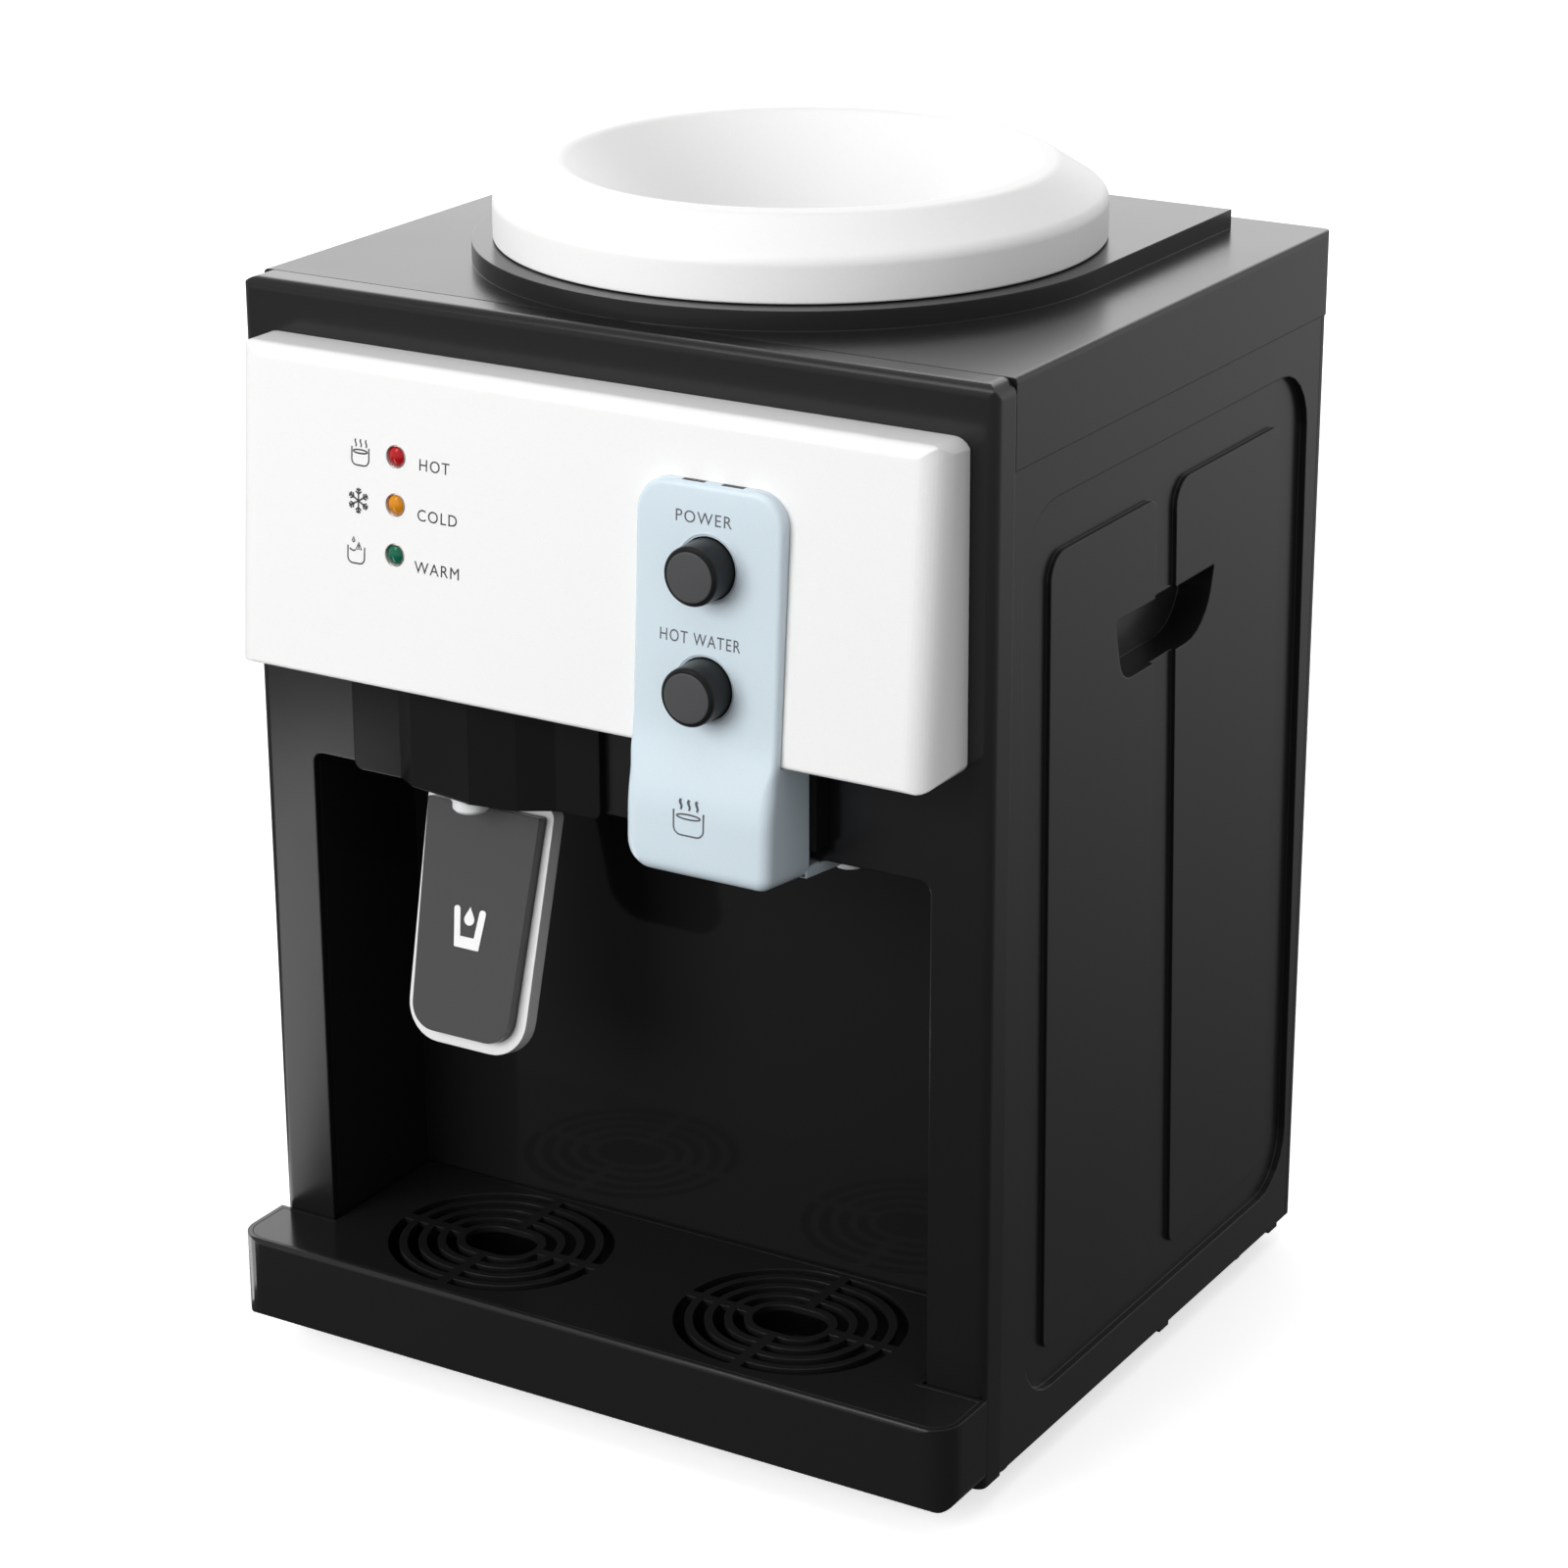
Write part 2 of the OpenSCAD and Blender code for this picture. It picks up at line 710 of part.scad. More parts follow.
module cold_tap_housing() {
    color("#1c1c1d") at_front() difference() {
        union() {
            upright(-3, -0.2) translate([tap_x, 0])
                soft_shape(
                    [[-tap_half, tap_low], [tap_half, tap_low], [tap_half, fascia_low - gap],
                     [-tap_half, fascia_low - gap]],
                    [3, 3, 0, 0]
                );
            translate([tap_x, 0, tap_low]) linear_extrude(fascia_low - gap - tap_low)
                polygon(concat(bulge, [[32, -0.2], [-30, -0.2]]));
            for (side = [-1, 1]) {
                block([paddle_x + side * 15 - 1.5, -1, 221.5], [paddle_x + side * 15 + 1.5, 23, 250]);
            }
            block([paddle_x - 16, -1, 247.5], [paddle_x + 16, 23, 250]);
        }
        translate([tap_x, 0, tap_low + wall]) linear_extrude(25)
            polygon([[-27, -2], [-20.5, -5.6], [4, -9.9], [19.5, -7.2], [28, -2], [28, 0], [-27, 0]]);
        rod_z(paddle_x, -0.5, 8.5, 200, 246);
        rod_x(pivot_y, pivot_z, pin_r, paddle_x - 20, paddle_x + 20);
    }
}

module cold_spout() {
    color("#f0f2f2") at_front() difference() {
        union() {
            rod_z(paddle_x, -0.5, 7.5, 213, 228);
            rod_z(paddle_x, -1.5, 6.2, 210, 214);
            translate([paddle_x, -1.5, 209]) cylinder(h = 1, r1 = 5.4, r2 = 6.2);
        }
        rod_z(paddle_x, -0.5, 4.5, 208, 226);
    }
}

module cold_valve() {
    color("#d9d4c8") at_front() union() {
        rod_z(paddle_x, -0.5, 8, 228.2, 244);
        block([paddle_x - 4, 4, 238], [paddle_x + 4, 34, 244]);
        rod_z(paddle_x, 30, 5, 238, 254);
    }
}

// Places a piece drawn upright and hanging from the pivot in its leaning rest pose
module on_paddle() {
    translate([paddle_x, pivot_y, pivot_z]) rotate([-paddle_tilt, 0, 0]) children();
}

// Outline that narrows towards its foot
module tapered_shape(half_high, half_low, high, low, head_r, foot_r) {
    soft_shape([[-half_low, low], [half_low, low], [half_high, high], [-half_high, high]],
               [foot_r, foot_r, head_r, head_r], 8);
}

module paddle_shape(inset) {
    tapered_shape(paddle_w / 2 - inset, paddle_w / 2 - 1.9 - inset, paddle_high - inset, paddle_low + inset,
                  4, 13 - inset);
}

module pad_shape(grow) {
    tapered_shape(22.4 + grow, 19.2 + grow, -22 + grow, -100.3 - grow, 0.8 + grow, 9 + grow);
}

module paddle_frame() {
    color("#c4c6c8") at_front() on_paddle() difference() {
        union() {
            upright(paddle_face, paddle_face + paddle_thick) paddle_shape(0);
            block([-8, paddle_face + 0.5, paddle_high - 1], [8, 5, 1]);
            rod_x(0, 0, 5, -11, 11);
        }
        upright(paddle_face - over, paddle_face + pad_seat) pad_shape(0.1);
        upright(paddle_face + 3.2, paddle_face + paddle_thick + over) paddle_shape(2.2);
        rod_x(0, 0, pin_r + pin_clear, -20, 20);
    }
}

// Glass drawn by its two walls and its thick foot
module icon_cup_shape(grow) {
    soft_shape([[-7 - grow, 7 + grow], [-5.4 - grow, -6.9 - grow], [4.4 + grow, -6.9 - grow], [6 + grow, 7 + grow],
                [3.4 - grow, 7 + grow], [2.1 - grow, -3 + grow], [-3.4 + grow, -3 + grow], [-4.6 + grow, 7 + grow]],
               [1.1, 0.4, 0.4, 1.1, 1.1, 0, 0, 1.1], 4);
}

// Drop above the glass's foot
module icon_drop_shape(grow) {
    circle(2 + grow, $fn = 32);
    polygon([[-1.8 - grow, 0.9], [1.8 + grow, 0.9], [0, 4.3 + grow]]);
}

icon_z = -63.4;
pad_front = paddle_face - pad_proud;

module paddle_insert() {
    color("#4a4c4f") at_front() on_paddle() difference() {
        upright(pad_front, paddle_face + pad_seat - 0.05) pad_shape(0);
        upright(pad_front - over, pad_front + 0.9) translate([0, icon_z]) icon_cup_shape(0.05);
        upright(pad_front - over, pad_front + 0.9) translate([-0.5, icon_z + 3]) icon_drop_shape(0.05);
    }
}

module paddle_icon() {
    color("#f4f4f4") at_front() on_paddle() union() {
        upright(pad_front - 0.3, pad_front + 0.8) translate([0, icon_z]) icon_cup_shape(0);
        upright(pad_front - 0.3, pad_front + 0.8) translate([-0.5, icon_z + 3]) icon_drop_shape(0);
    }
}

module paddle_pin() {
    color("#b4b6b8") at_front() rod_x(pivot_y, pivot_z, pin_r, paddle_x - 17.5, paddle_x + 17.5);
}

module paddle_spring() {
    color("#9fa2a6") at_front() translate([paddle_x, pivot_y, pivot_z]) union() {
        translate([-13.1, 0, 0]) rotate([0, 90, 0]) coil(3.2, 0.3, 0.7, 2.5);
        block([-13.3, 3, -0.3], [-12.7, 12, 0.3]);
    }
}

// ---------------------------------------------------------------- drip tray

tray_low = case_low + wall + 1.1;
tray_back = bay_depth - 1;
// Width of the tray's rim around its lid
tray_rim = 1.8;

// Plan of the tray: a wide front bar and a narrower part inside the bay
module tray_outline(inset) {
    bar = tray_w / 2 - inset;
    inner = bay_w / 2 - 1.2 - inset;
    soft_shape(
        [[-bar, -tray_reach + inset], [bar, -tray_reach + inset], [bar, -0.4 - inset], [inner, -0.4 - inset],
         [inner, tray_back - inset], [-inner, tray_back - inset], [-inner, -0.4 - inset], [-bar, -0.4 - inset]],
        [max(2, 10 - inset), max(2, 10 - inset), 0, 0, 3, 3, 0, 0], 8
    );
}

module drip_tray() {
    lid = 2.5;
    color("#1e1e20") at_front() difference() {
        intersection() {
            translate([0, 0, tray_low]) linear_extrude(tray_top - tray_low) tray_outline(0);
            along_x(-tray_w, tray_w)
                soft_shape(
                    [[-tray_reach, tray_low], [tray_back + over, tray_low], [tray_back + over, tray_top],
                     [-tray_reach, tray_top]],
                    [2.4, 0, 0, 1.6]
                );
            upright(-tray_reach - over, tray_back + over)
                soft_shape(
                    [[-tray_w / 2, tray_low], [tray_w / 2, tray_low], [tray_w / 2, tray_top], [-tray_w / 2, tray_top]],
                    [4, 4, 0, 0]
                );
        }
        translate([0, 0, tray_low + wall]) linear_extrude(tray_top) tray_outline(tray_rim + 1.8);
        translate([0, 0, tray_top - lid]) linear_extrude(lid + over) tray_outline(tray_rim);
    }
}

module stadium(r, straight) {
    square([straight, 2 * r], center = true);
    for (s = [-1, 1]) translate([s * straight / 2, 0]) circle(r);
}

module ring_slots() {
    difference() {
        for (k = [0:ring_count - 2]) {
            difference() {
                stadium(ring_outer_r - k * ring_pitch, ring_straight);
                stadium(ring_outer_r - k * ring_pitch - slot_w, ring_straight);
            }
        }
        square([rib_w, 100], center = true);
        square([100, rib_w], center = true);
    }
    stadium(ring_outer_r - (ring_count - 1) * ring_pitch, ring_straight);
}

module drip_grille() {
    thick = 2.2;
    color("#1a1a1b") at_front() difference() {
        translate([0, 0, tray_top - thick]) linear_extrude(thick) tray_outline(tray_rim + gap / 2);
        for (side = [-1, 1]) {
            translate([side * ring_x, ring_y, tray_top - thick - over]) linear_extrude(thick + 2 * over) ring_slots();
        }
    }
}

// ---------------------------------------------------------------- bottle seat and cold reservoir

module bottle_seat() {
    foot = deck_top + gap;
    color("#f6f6f6") at_front() translate([0, seat_y, 0]) rotate_extrude($fn = 128)
        soft_shape(
            [[seat_r, foot], [seat_r, foot + 14.4], [rim_r + 3, seat_top - 0.6], [rim_r - 3.6, seat_top],
             [46, 384], [throat_r, 372.5], [throat_r, throat_low], [throat_r + wall, throat_low],
             [throat_r + wall, 371.5], [47, 381], [78.6, seat_top - 5.6], [rim_r + 1.4, seat_top - 4.6],
             [seat_r - wall, foot + 13.2], [seat_r - wall, foot]],
            [0.8, 5, 6, 5, 34, 6, 0, 0, 4, 30, 4, 3, 3, 0], 8
        );
}

module seat_gasket() {
    color("#6f7276") at_front() translate([0, seat_y, 0]) rotate_extrude()
        polygon([[50, cold_top + 0.1], [54, cold_top + 0.1], [54, cold_top + 9.6], [50, cold_top + 6.6]]);
}

module cold_tank() {
    color("#c9cdd1") at_front() translate([0, seat_y, 0]) difference() {
        union() {
            rotate_extrude()
                soft_shape(
                    [[0, cold_low], [cold_r, cold_low], [cold_r, cold_top - 2], [collar_r, cold_top - 2],
                     [collar_r, deck_top - wall - gap], [collar_r - 2, deck_top - wall - gap],
                     [collar_r - 2, cold_top], [cold_r - 1.5, cold_top], [cold_r - 1.5, cold_low + 1.5],
                     [0, cold_low + 1.5]],
                    [0, 8, 2, 0, 0, 0, 0, 0, 6.5, 0]
                );
            translate([-24, 0, cold_low - 12]) cylinder(h = 13, r = 5);
            translate([24, 0, cold_low - 12]) cylinder(h = 13, r = 5);
        }
        translate([-24, 0, cold_low - 13]) cylinder(h = 20, r = 3.4);
        translate([24, 0, cold_low - 13]) cylinder(h = 20, r = 3.4);
    }
}

module tank_foam() {
    color("#e9e7df") at_front() difference() {
        rod_z(0, seat_y, cold_r + 9.5, cold_low - 10, 368);
        rod_z(0, seat_y, cold_r + 0.4, cold_low - 0.4, 380);
        for (x = [-24, 24]) rod_z(x, seat_y, 5.4, cold_low - 12, cold_low + 1);
        block([-23, seat_y, cold_z - 23], [23, seat_y + 80, cold_z + 23]);
    }
}

// Disc that keeps incoming warm water off the chilled water below it
module baffle() {
    color("#eef0f1") at_front() translate([0, seat_y, 296]) difference() {
        union() {
            cylinder(h = 2, r = 42);
            cylinder(h = 14, r = 7);
        }
        for (a = [0:60:300]) rotate([0, 0, a]) translate([30, 0, -1]) cylinder(h = 4, r = 4);
        translate([0, 0, -1]) cylinder(h = 20, r = 4);
    }
}

module cold_block() {
    color("#c3c6c9") at_front() difference() {
        block([-22, seat_y + 34, cold_z - 22], [22, block_back, cold_z + 22]);
        rod_z(0, seat_y, cold_r + 0.1, cold_z - 30, cold_z + 30);
    }
}

module peltier_module() {
    color("#ece9e2") at_front() union() {
        block([-20, block_back + 0.1, cold_z - 20], [20, block_back + 1, cold_z + 20]);
        block([-18.5, block_back + 1, cold_z - 18.5], [18.5, module_back - 1, cold_z + 18.5]);
        block([-20, module_back - 1, cold_z - 20], [20, module_back - 0.1, cold_z + 20]);
    }
}

module heat_sink() {
    size = fan_size - 2;
    fins = 14;
    color("#b9bcc0") at_front() union() {
        block([-size / 2, module_back, cold_z - size / 2], [size / 2, module_back + 5, cold_z + size / 2]);
        for (i = [0:fins - 1]) {
            x = -size / 2 + i * (size - 1.4) / (fins - 1);
            block([x, module_back + 4, cold_z - size / 2], [x + 1.4, sink_back, cold_z + size / 2]);
        }
    }
}

module fan_frame() {
    motor = fan_front + fan_depth;
    color("#171718") at_front() difference() {
        union() {
            difference() {
                upright(fan_front, fan_front + fan_depth)
                    translate([0, cold_z]) round_rect(fan_size, fan_size, 5);
                rod_y(0, cold_z, fan_size / 2 - 2, fan_front - over, fan_front + fan_depth + over);
            }
            for (a = [45:90:315]) {
                translate([0, 0, cold_z]) rotate([0, a, 0])
                    block([-2, motor - 3, 10], [2, motor, fan_size / 2 - 1]);
            }
            rod_y(0, cold_z, fan_hub_r - 1, motor - 5, motor);
        }
        rod_y(0, cold_z, fan_shaft_r + pin_clear, motor - 6, motor - 1);
        for (x = [-1, 1], z = [-1, 1]) {
            rod_y(x * (fan_size / 2 - 5), cold_z + z * (fan_size / 2 - 5), 2.1, fan_front - over, motor + over);
        }
    }
}

module fan_rotor() {
    motor = fan_front + fan_depth;
    tip = fan_size / 2 - 3.5;
    color("#29292b") at_front() union() {
        rod_y(0, cold_z, fan_hub_r, fan_front + 2, motor - 6);
        rod_y(0, cold_z, fan_shaft_r, motor - 7, motor - 1.5);
        intersection() {
            rod_y(0, cold_z, tip, fan_front + 2, motor - 6);
            for (a = [0:360 / 7:359]) {
                translate([0, fan_front + 10.5, cold_z]) rotate([0, a, 0]) rotate([0, 0, 38])
                    block([-13, -0.8, fan_hub_r - 3], [13, 0.8, tip + 5]);
            }
        }
    }
}

// ---------------------------------------------------------------- hot reservoir

// Domed drum of the hot tank, drawn smaller by the inset for its inside
module hot_drum(inset) {
    r = hot_r - inset;
    rotate_extrude()
        soft_shape(
            [[0, hot_low - 4 + inset], [hot_r - 12, hot_low - 3 + inset], [r, hot_low + 6], [r, hot_high - 6],
             [hot_r - 12, hot_high + 3 - inset], [0, hot_high + 4 - inset]],
            [0, 5, 6, 6, 5, 0]
        );
}

module hot_tank() {
    color("#c6c9cc") at_front() translate([hot_tank_x, hot_tank_y, 0]) difference() {
        union() {
            hot_drum(0);
            for (x = [-16, 16]) translate([x, 0, hot_high]) cylinder(h = 16, r = 4);
            translate([0, 0, hot_low - 16]) cylinder(h = 14, r = 4);
        }
        hot_drum(1.2);
        for (x = [-16, 16]) translate([x, 0, hot_high - 6]) cylinder(h = 23, r = 2.8);
        translate([0, 0, hot_low - 17]) cylinder(h = 22, r = 2.8);
    }
}

module heater_band() {
    color("#a98f5d") at_front() translate([hot_tank_x, hot_tank_y, 0]) union() {
        difference() {
            translate([0, 0, 112]) cylinder(h = 30, r = hot_r + 3);
            translate([0, 0, 111]) cylinder(h = 32, r = hot_r + 0.15);
            block([-4, -60, 110], [4, -30, 145]);
        }
        for (side = [-1, 1]) block([side * 6 - 1.4, -hot_r - 10, 118], [side * 6 + 1.4, -hot_r - 0.4, 136]);
        rod_x(-hot_r - 7, 127, 1.6, -9, 9);
    }
}

module thermostats() {
    color("#2c2c2e") at_front() for (z = [160, 184]) {
        difference() {
            union() {
                translate([hot_tank_x - hot_r - 9, hot_tank_y, z]) rotate([0, 90, 0]) cylinder(h = 10, r = 8);
                for (dy = [-4, 4]) {
                    block([hot_tank_x - hot_r - 15, hot_tank_y + dy - 2, z - 0.4],
                          [hot_tank_x - hot_r - 8, hot_tank_y + dy + 2, z + 0.4]);
                }
            }
            rod_z(hot_tank_x, hot_tank_y, hot_r + 0.1, z - 20, z + 20);
        }
    }
}

module tank_stand() {
    color("#9da0a4") at_front() difference() {
        union() {
            rod_z(hot_tank_x, hot_tank_y, hot_r + 2.4, 90, 106);
            for (a = [45:90:315]) {
                x = hot_tank_x + 40 * cos(a);
                y = hot_tank_y + 40 * sin(a);
                block([x - 4, y - 4, pan_top + 0.1], [x + 4, y + 4, 92]);
                block([x - 8, y - 8, pan_top + 0.1], [x + 8, y + 8, pan_top + 2]);
            }
        }
        rod_z(hot_tank_x, hot_tank_y, hot_r + 0.2, hot_low + 0.5, 110);
        rod_z(hot_tank_x, hot_tank_y, hot_r - 5, 85, 100);
    }
}

// ---------------------------------------------------------------- hoses and drain

module cold_hose() {
    color("#d6dadc") at_front()
        hose([[-24, seat_y, 237.8], [-24, seat_y, 227], [-26, 66, 229], [paddle_x, 46, 262], [paddle_x, 30, 262],
              [paddle_x, 30, 254.2]], 4.4);
}

module feed_hose() {
    color("#d6dadc") at_front()
        hose([[24, seat_y, 237.6], [24, seat_y, 230], [hot_tank_x - 16, 140, 230],
              [hot_tank_x - 16, hot_tank_y, 226], [hot_tank_x - 16, hot_tank_y, hot_high + 16.2]], 4.4);
}

module hot_hose() {
    color("#d6dadc") at_front()
        hose([[hot_tank_x + 16, hot_tank_y, hot_high + 16.2], [hot_tank_x + 16, hot_tank_y, 232],
              [hot_tank_x + 16, 80, 232], [hot_x - 8, 48, 256], [hot_x - 8, 16, 256], [hot_x - 8, 16, 247.2]], 4.2);
}

module drain_hose() {
    color("#d6dadc") at_front()
        hose([[hot_tank_x, hot_tank_y, hot_low - 16.2], [hot_tank_x, hot_tank_y, 44],
              [drain_x, 190, drain_z], [drain_x, 222, drain_z]], 4.4);
}

module drain_cap() {
    color("#3a3b3d") at_front() difference() {
        union() {
            rod_y(drain_x, drain_z, 6.5, 222.4, cover_back + 1);
            rod_y(drain_x, drain_z, 9.8, cover_back - 1.8, cover_back + 4);
        }
        for (a = [0:30:330]) {
            translate([drain_x, 0, drain_z]) rotate([0, a, 0]) rod_y(10.4, 0, 1.2, cover_back + 0.8, cover_back + 6);
        }
        rod_y(drain_x, drain_z, 4.6, 222, 232);
    }
}

// ---------------------------------------------------------------- electrics

module power_board() {
    color("#27663a") at_front() union() {
        block([-126, 110, 40], [-124.4, 190, 150]);
        for (z = [46, 140], y = [116, 184]) rod_x(y, z, 3, -131.4, -125);
        block([-124.5, 118, 54], [-98, 146, 82]);
        for (z = [98, 118, 138]) rod_x(128, z, 7, -124.5, -104);
        block([-124.5, 150, 90], [-112, 180, 100]);
        block([-124.5, 150, 108], [-116, 182, 132]);
        block([-124.5, 154, 50], [-114, 184, 60]);
    }
}

module mains_inlet() {
    z = 45;
    color("#101011") at_front() difference() {
        union() {
            upright(cover_back - 20, cover_back + 0.8) translate([service_x, z]) round_rect(27.6, 20, 1.8);
            upright(cover_back + 0.05, cover_back + 2) translate([service_x, z]) round_rect(42, 25, 4);
        }
        upright(cover_back - 15, cover_back + 3) translate([service_x, z])
            polygon([[-12, -7.8], [12, -7.8], [12, 4], [8, 7.8], [-8, 7.8], [-12, 4]]);
        for (x = [-18, 18]) rod_y(service_x + x, z, 1.4, cover_back - 2, cover_back + 3);
    }
    color("#c9b06a") at_front() for (p = [[-7, -2], [0, 2], [7, -2]]) {
        block([service_x + p[0] - 1, cover_back - 16, z + p[1] - 2.5],
              [service_x + p[0] + 1, cover_back - 3, z + p[1] + 2.5]);
    }
}

module switch_bezel() {
    z = 80;
    color("#101011") at_front() difference() {
        union() {
            upright(cover_back - 16, cover_back + 0.8) translate([service_x, z]) round_rect(28.6, 24, 1.8);
            upright(cover_back + 0.05, cover_back + 2) translate([service_x, z]) round_rect(34, 28, 2);
        }
        for (x = [-7, 7]) {
            upright(cover_back - 9, cover_back + 3) translate([service_x + x, z]) square([12.4, 21], center = true);
            rod_x(cover_back - 3, z, 1.5, service_x + x - 6.9, service_x + x + 6.9);
        }
    }
}

// Rocker key, tipped with its lower end out
module rocker(x, tone) {
    z = 80;
    color(tone) at_front() translate([service_x + x, cover_back - 3, z]) rotate([rocker_tip, 0, 0]) union() {
        along_x(-5.9, 5.9)
            polygon([[-3, -6], [-3, 6], [3.4, 9.6], [5.2, 9.2], [2.4, 0], [5.2, -9.2], [3.4, -9.6]]);
        rod_x(0, 0, 1.44, -6.7, 6.7);
    }
}

module hot_rocker() {
    rocker(7, "#a3161d");
}

module cold_rocker() {
    rocker(-7, "#1f6d3a");
}

module wire_harness() {
    color("#3c3c40") at_front() union() {
        hose([[service_x, cover_back - 20.3, 45], [service_x, 200, 45], [-111, 180, 55]], 2.2);
        hose([[service_x, cover_back - 16.3, 80], [service_x, 204, 80], [-109, 176, 95]], 2.2);
        hose([[-110.8, 160, 96], [-94, 156, 110], [-90, 100, 160], [-60, 80, 238], [lens_x, 30, 280],
              [lens_x, 4, 294], [lens_x, -2.3, 294]], 1.8);
        hose([[-114.8, 165, 120], [-60, 190, 160], [-10, 200, 60], [hot_tank_x, 96, 60],
              [hot_tank_x, 95, 127]], 1.8);
    }
}

base_pan();
front_frame();
bay_liner();
top_cover();
left_side_panel();
right_side_panel();
back_cover();
feet();
case_screws();
fascia();
hot_lens();
cold_lens();
warm_lens();
indicator_board();
hot_tap_housing();
hot_tap_body();
power_button();
hot_water_button();
button_guide();
power_spring();
hot_spring();
button_switches();
hot_valve();
hot_spout();
cold_tap_housing();
cold_valve();
cold_spout();
paddle_frame();
paddle_insert();
paddle_icon();
paddle_pin();
paddle_spring();
drip_tray();
drip_grille();
bottle_seat();
cold_tank();
tank_foam();
baffle();
seat_gasket();
cold_block();
peltier_module();
heat_sink();
fan_frame();
fan_rotor();
hot_tank();
heater_band();
thermostats();
tank_stand();
cold_hose();
feed_hose();
hot_hose();
drain_hose();
drain_cap();
power_board();
mains_inlet();
switch_bezel();
hot_rocker();
cold_rocker();
wire_harness();
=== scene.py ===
# Countertop water dispenser: finishes, fine pieces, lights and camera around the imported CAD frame.
import json
import math

import bmesh
import bpy
from mathutils import Matrix, Vector


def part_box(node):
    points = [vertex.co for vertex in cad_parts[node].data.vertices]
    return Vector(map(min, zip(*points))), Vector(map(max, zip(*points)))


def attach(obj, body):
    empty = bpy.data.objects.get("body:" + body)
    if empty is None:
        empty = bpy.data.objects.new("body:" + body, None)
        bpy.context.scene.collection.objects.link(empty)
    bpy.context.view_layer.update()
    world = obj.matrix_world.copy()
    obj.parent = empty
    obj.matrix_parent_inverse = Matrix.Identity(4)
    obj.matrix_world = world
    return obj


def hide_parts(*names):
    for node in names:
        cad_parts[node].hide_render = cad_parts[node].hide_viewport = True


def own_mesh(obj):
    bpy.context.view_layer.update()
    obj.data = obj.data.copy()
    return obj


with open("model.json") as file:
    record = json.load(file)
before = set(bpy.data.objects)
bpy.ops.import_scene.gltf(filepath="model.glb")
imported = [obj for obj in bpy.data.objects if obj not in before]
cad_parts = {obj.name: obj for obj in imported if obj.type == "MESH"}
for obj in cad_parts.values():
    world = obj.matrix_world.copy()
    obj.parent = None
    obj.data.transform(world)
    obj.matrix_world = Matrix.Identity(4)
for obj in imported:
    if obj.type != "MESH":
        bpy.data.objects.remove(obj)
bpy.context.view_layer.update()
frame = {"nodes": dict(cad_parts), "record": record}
NODES = frame["nodes"]

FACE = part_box("front_frame")[0].y
MM = 0.001

# Places in millimetres, as at() takes them.
COVER_X = 53.5                                          # middle of the hot tap's cover and its two buttons
BUTTON_Z = {"power": 315.0, "hot_water": 277.0}
BUTTON_FACE_Y = {"power": -34.5, "hot_water": -37.0}
LENS_X = -66.2
LENS_Z = {"hot": 332.0, "cold": 316.3, "warm": 300.0}
COVER_LOW, COVER_HIGH, COVER_HALF = 216.0, 341.0, 26.5  # the cover's foot, top and half width


def at(x, y, z):
    """A point given in millimetres: x from the middle, y back from the front frame's face, z above the table."""
    return Vector((x * MM, FACE + y * MM, z * MM))


# ---------------------------------------------------------------- materials

def new_material(name):
    """An empty node material with a Principled shader on its output."""
    mat = bpy.data.materials.new(name)
    mat.use_nodes = True
    nodes = mat.node_tree.nodes
    nodes.clear()
    out = nodes.new("ShaderNodeOutputMaterial")
    shader = nodes.new("ShaderNodeBsdfPrincipled")
    mat.node_tree.links.new(shader.outputs["BSDF"], out.inputs["Surface"])
    return mat, nodes, mat.node_tree.links, shader


def noise(nodes, links, coords, scale, detail):
    pattern = nodes.new("ShaderNodeTexNoise")
    pattern.inputs["Scale"].default_value = scale
    pattern.inputs["Detail"].default_value = detail
    pattern.inputs["Roughness"].default_value = 0.55
    links.new(coords, pattern.inputs["Vector"])
    return pattern.outputs["Fac"]


def spread(nodes, links, value, low, high, from_low=0.3, from_high=0.7):
    """A noise value stretched to run from low to high."""
    stretched = nodes.new("ShaderNodeMapRange")
    stretched.inputs["From Min"].default_value = from_low
    stretched.inputs["From Max"].default_value = from_high
    stretched.inputs["To Min"].default_value = low
    stretched.inputs["To Max"].default_value = high
    links.new(value, stretched.inputs["Value"])
    return stretched.outputs["Result"]


def tint(nodes, links, value, dark, light):
    """A colour that goes from dark to light with a value."""
    blend = nodes.new("ShaderNodeMix")
    blend.data_type = "RGBA"
    blend.inputs["A"].default_value = (*dark, 1.0)
    blend.inputs["B"].default_value = (*light, 1.0)
    links.new(value, blend.inputs["Factor"])
    return blend.outputs["Result"]


def bump_from(nodes, links, height, strength):
    bump = nodes.new("ShaderNodeBump")
    bump.inputs["Strength"].default_value = strength
    bump.inputs["Distance"].default_value = 0.0002
    links.new(height, bump.inputs["Height"])
    return bump


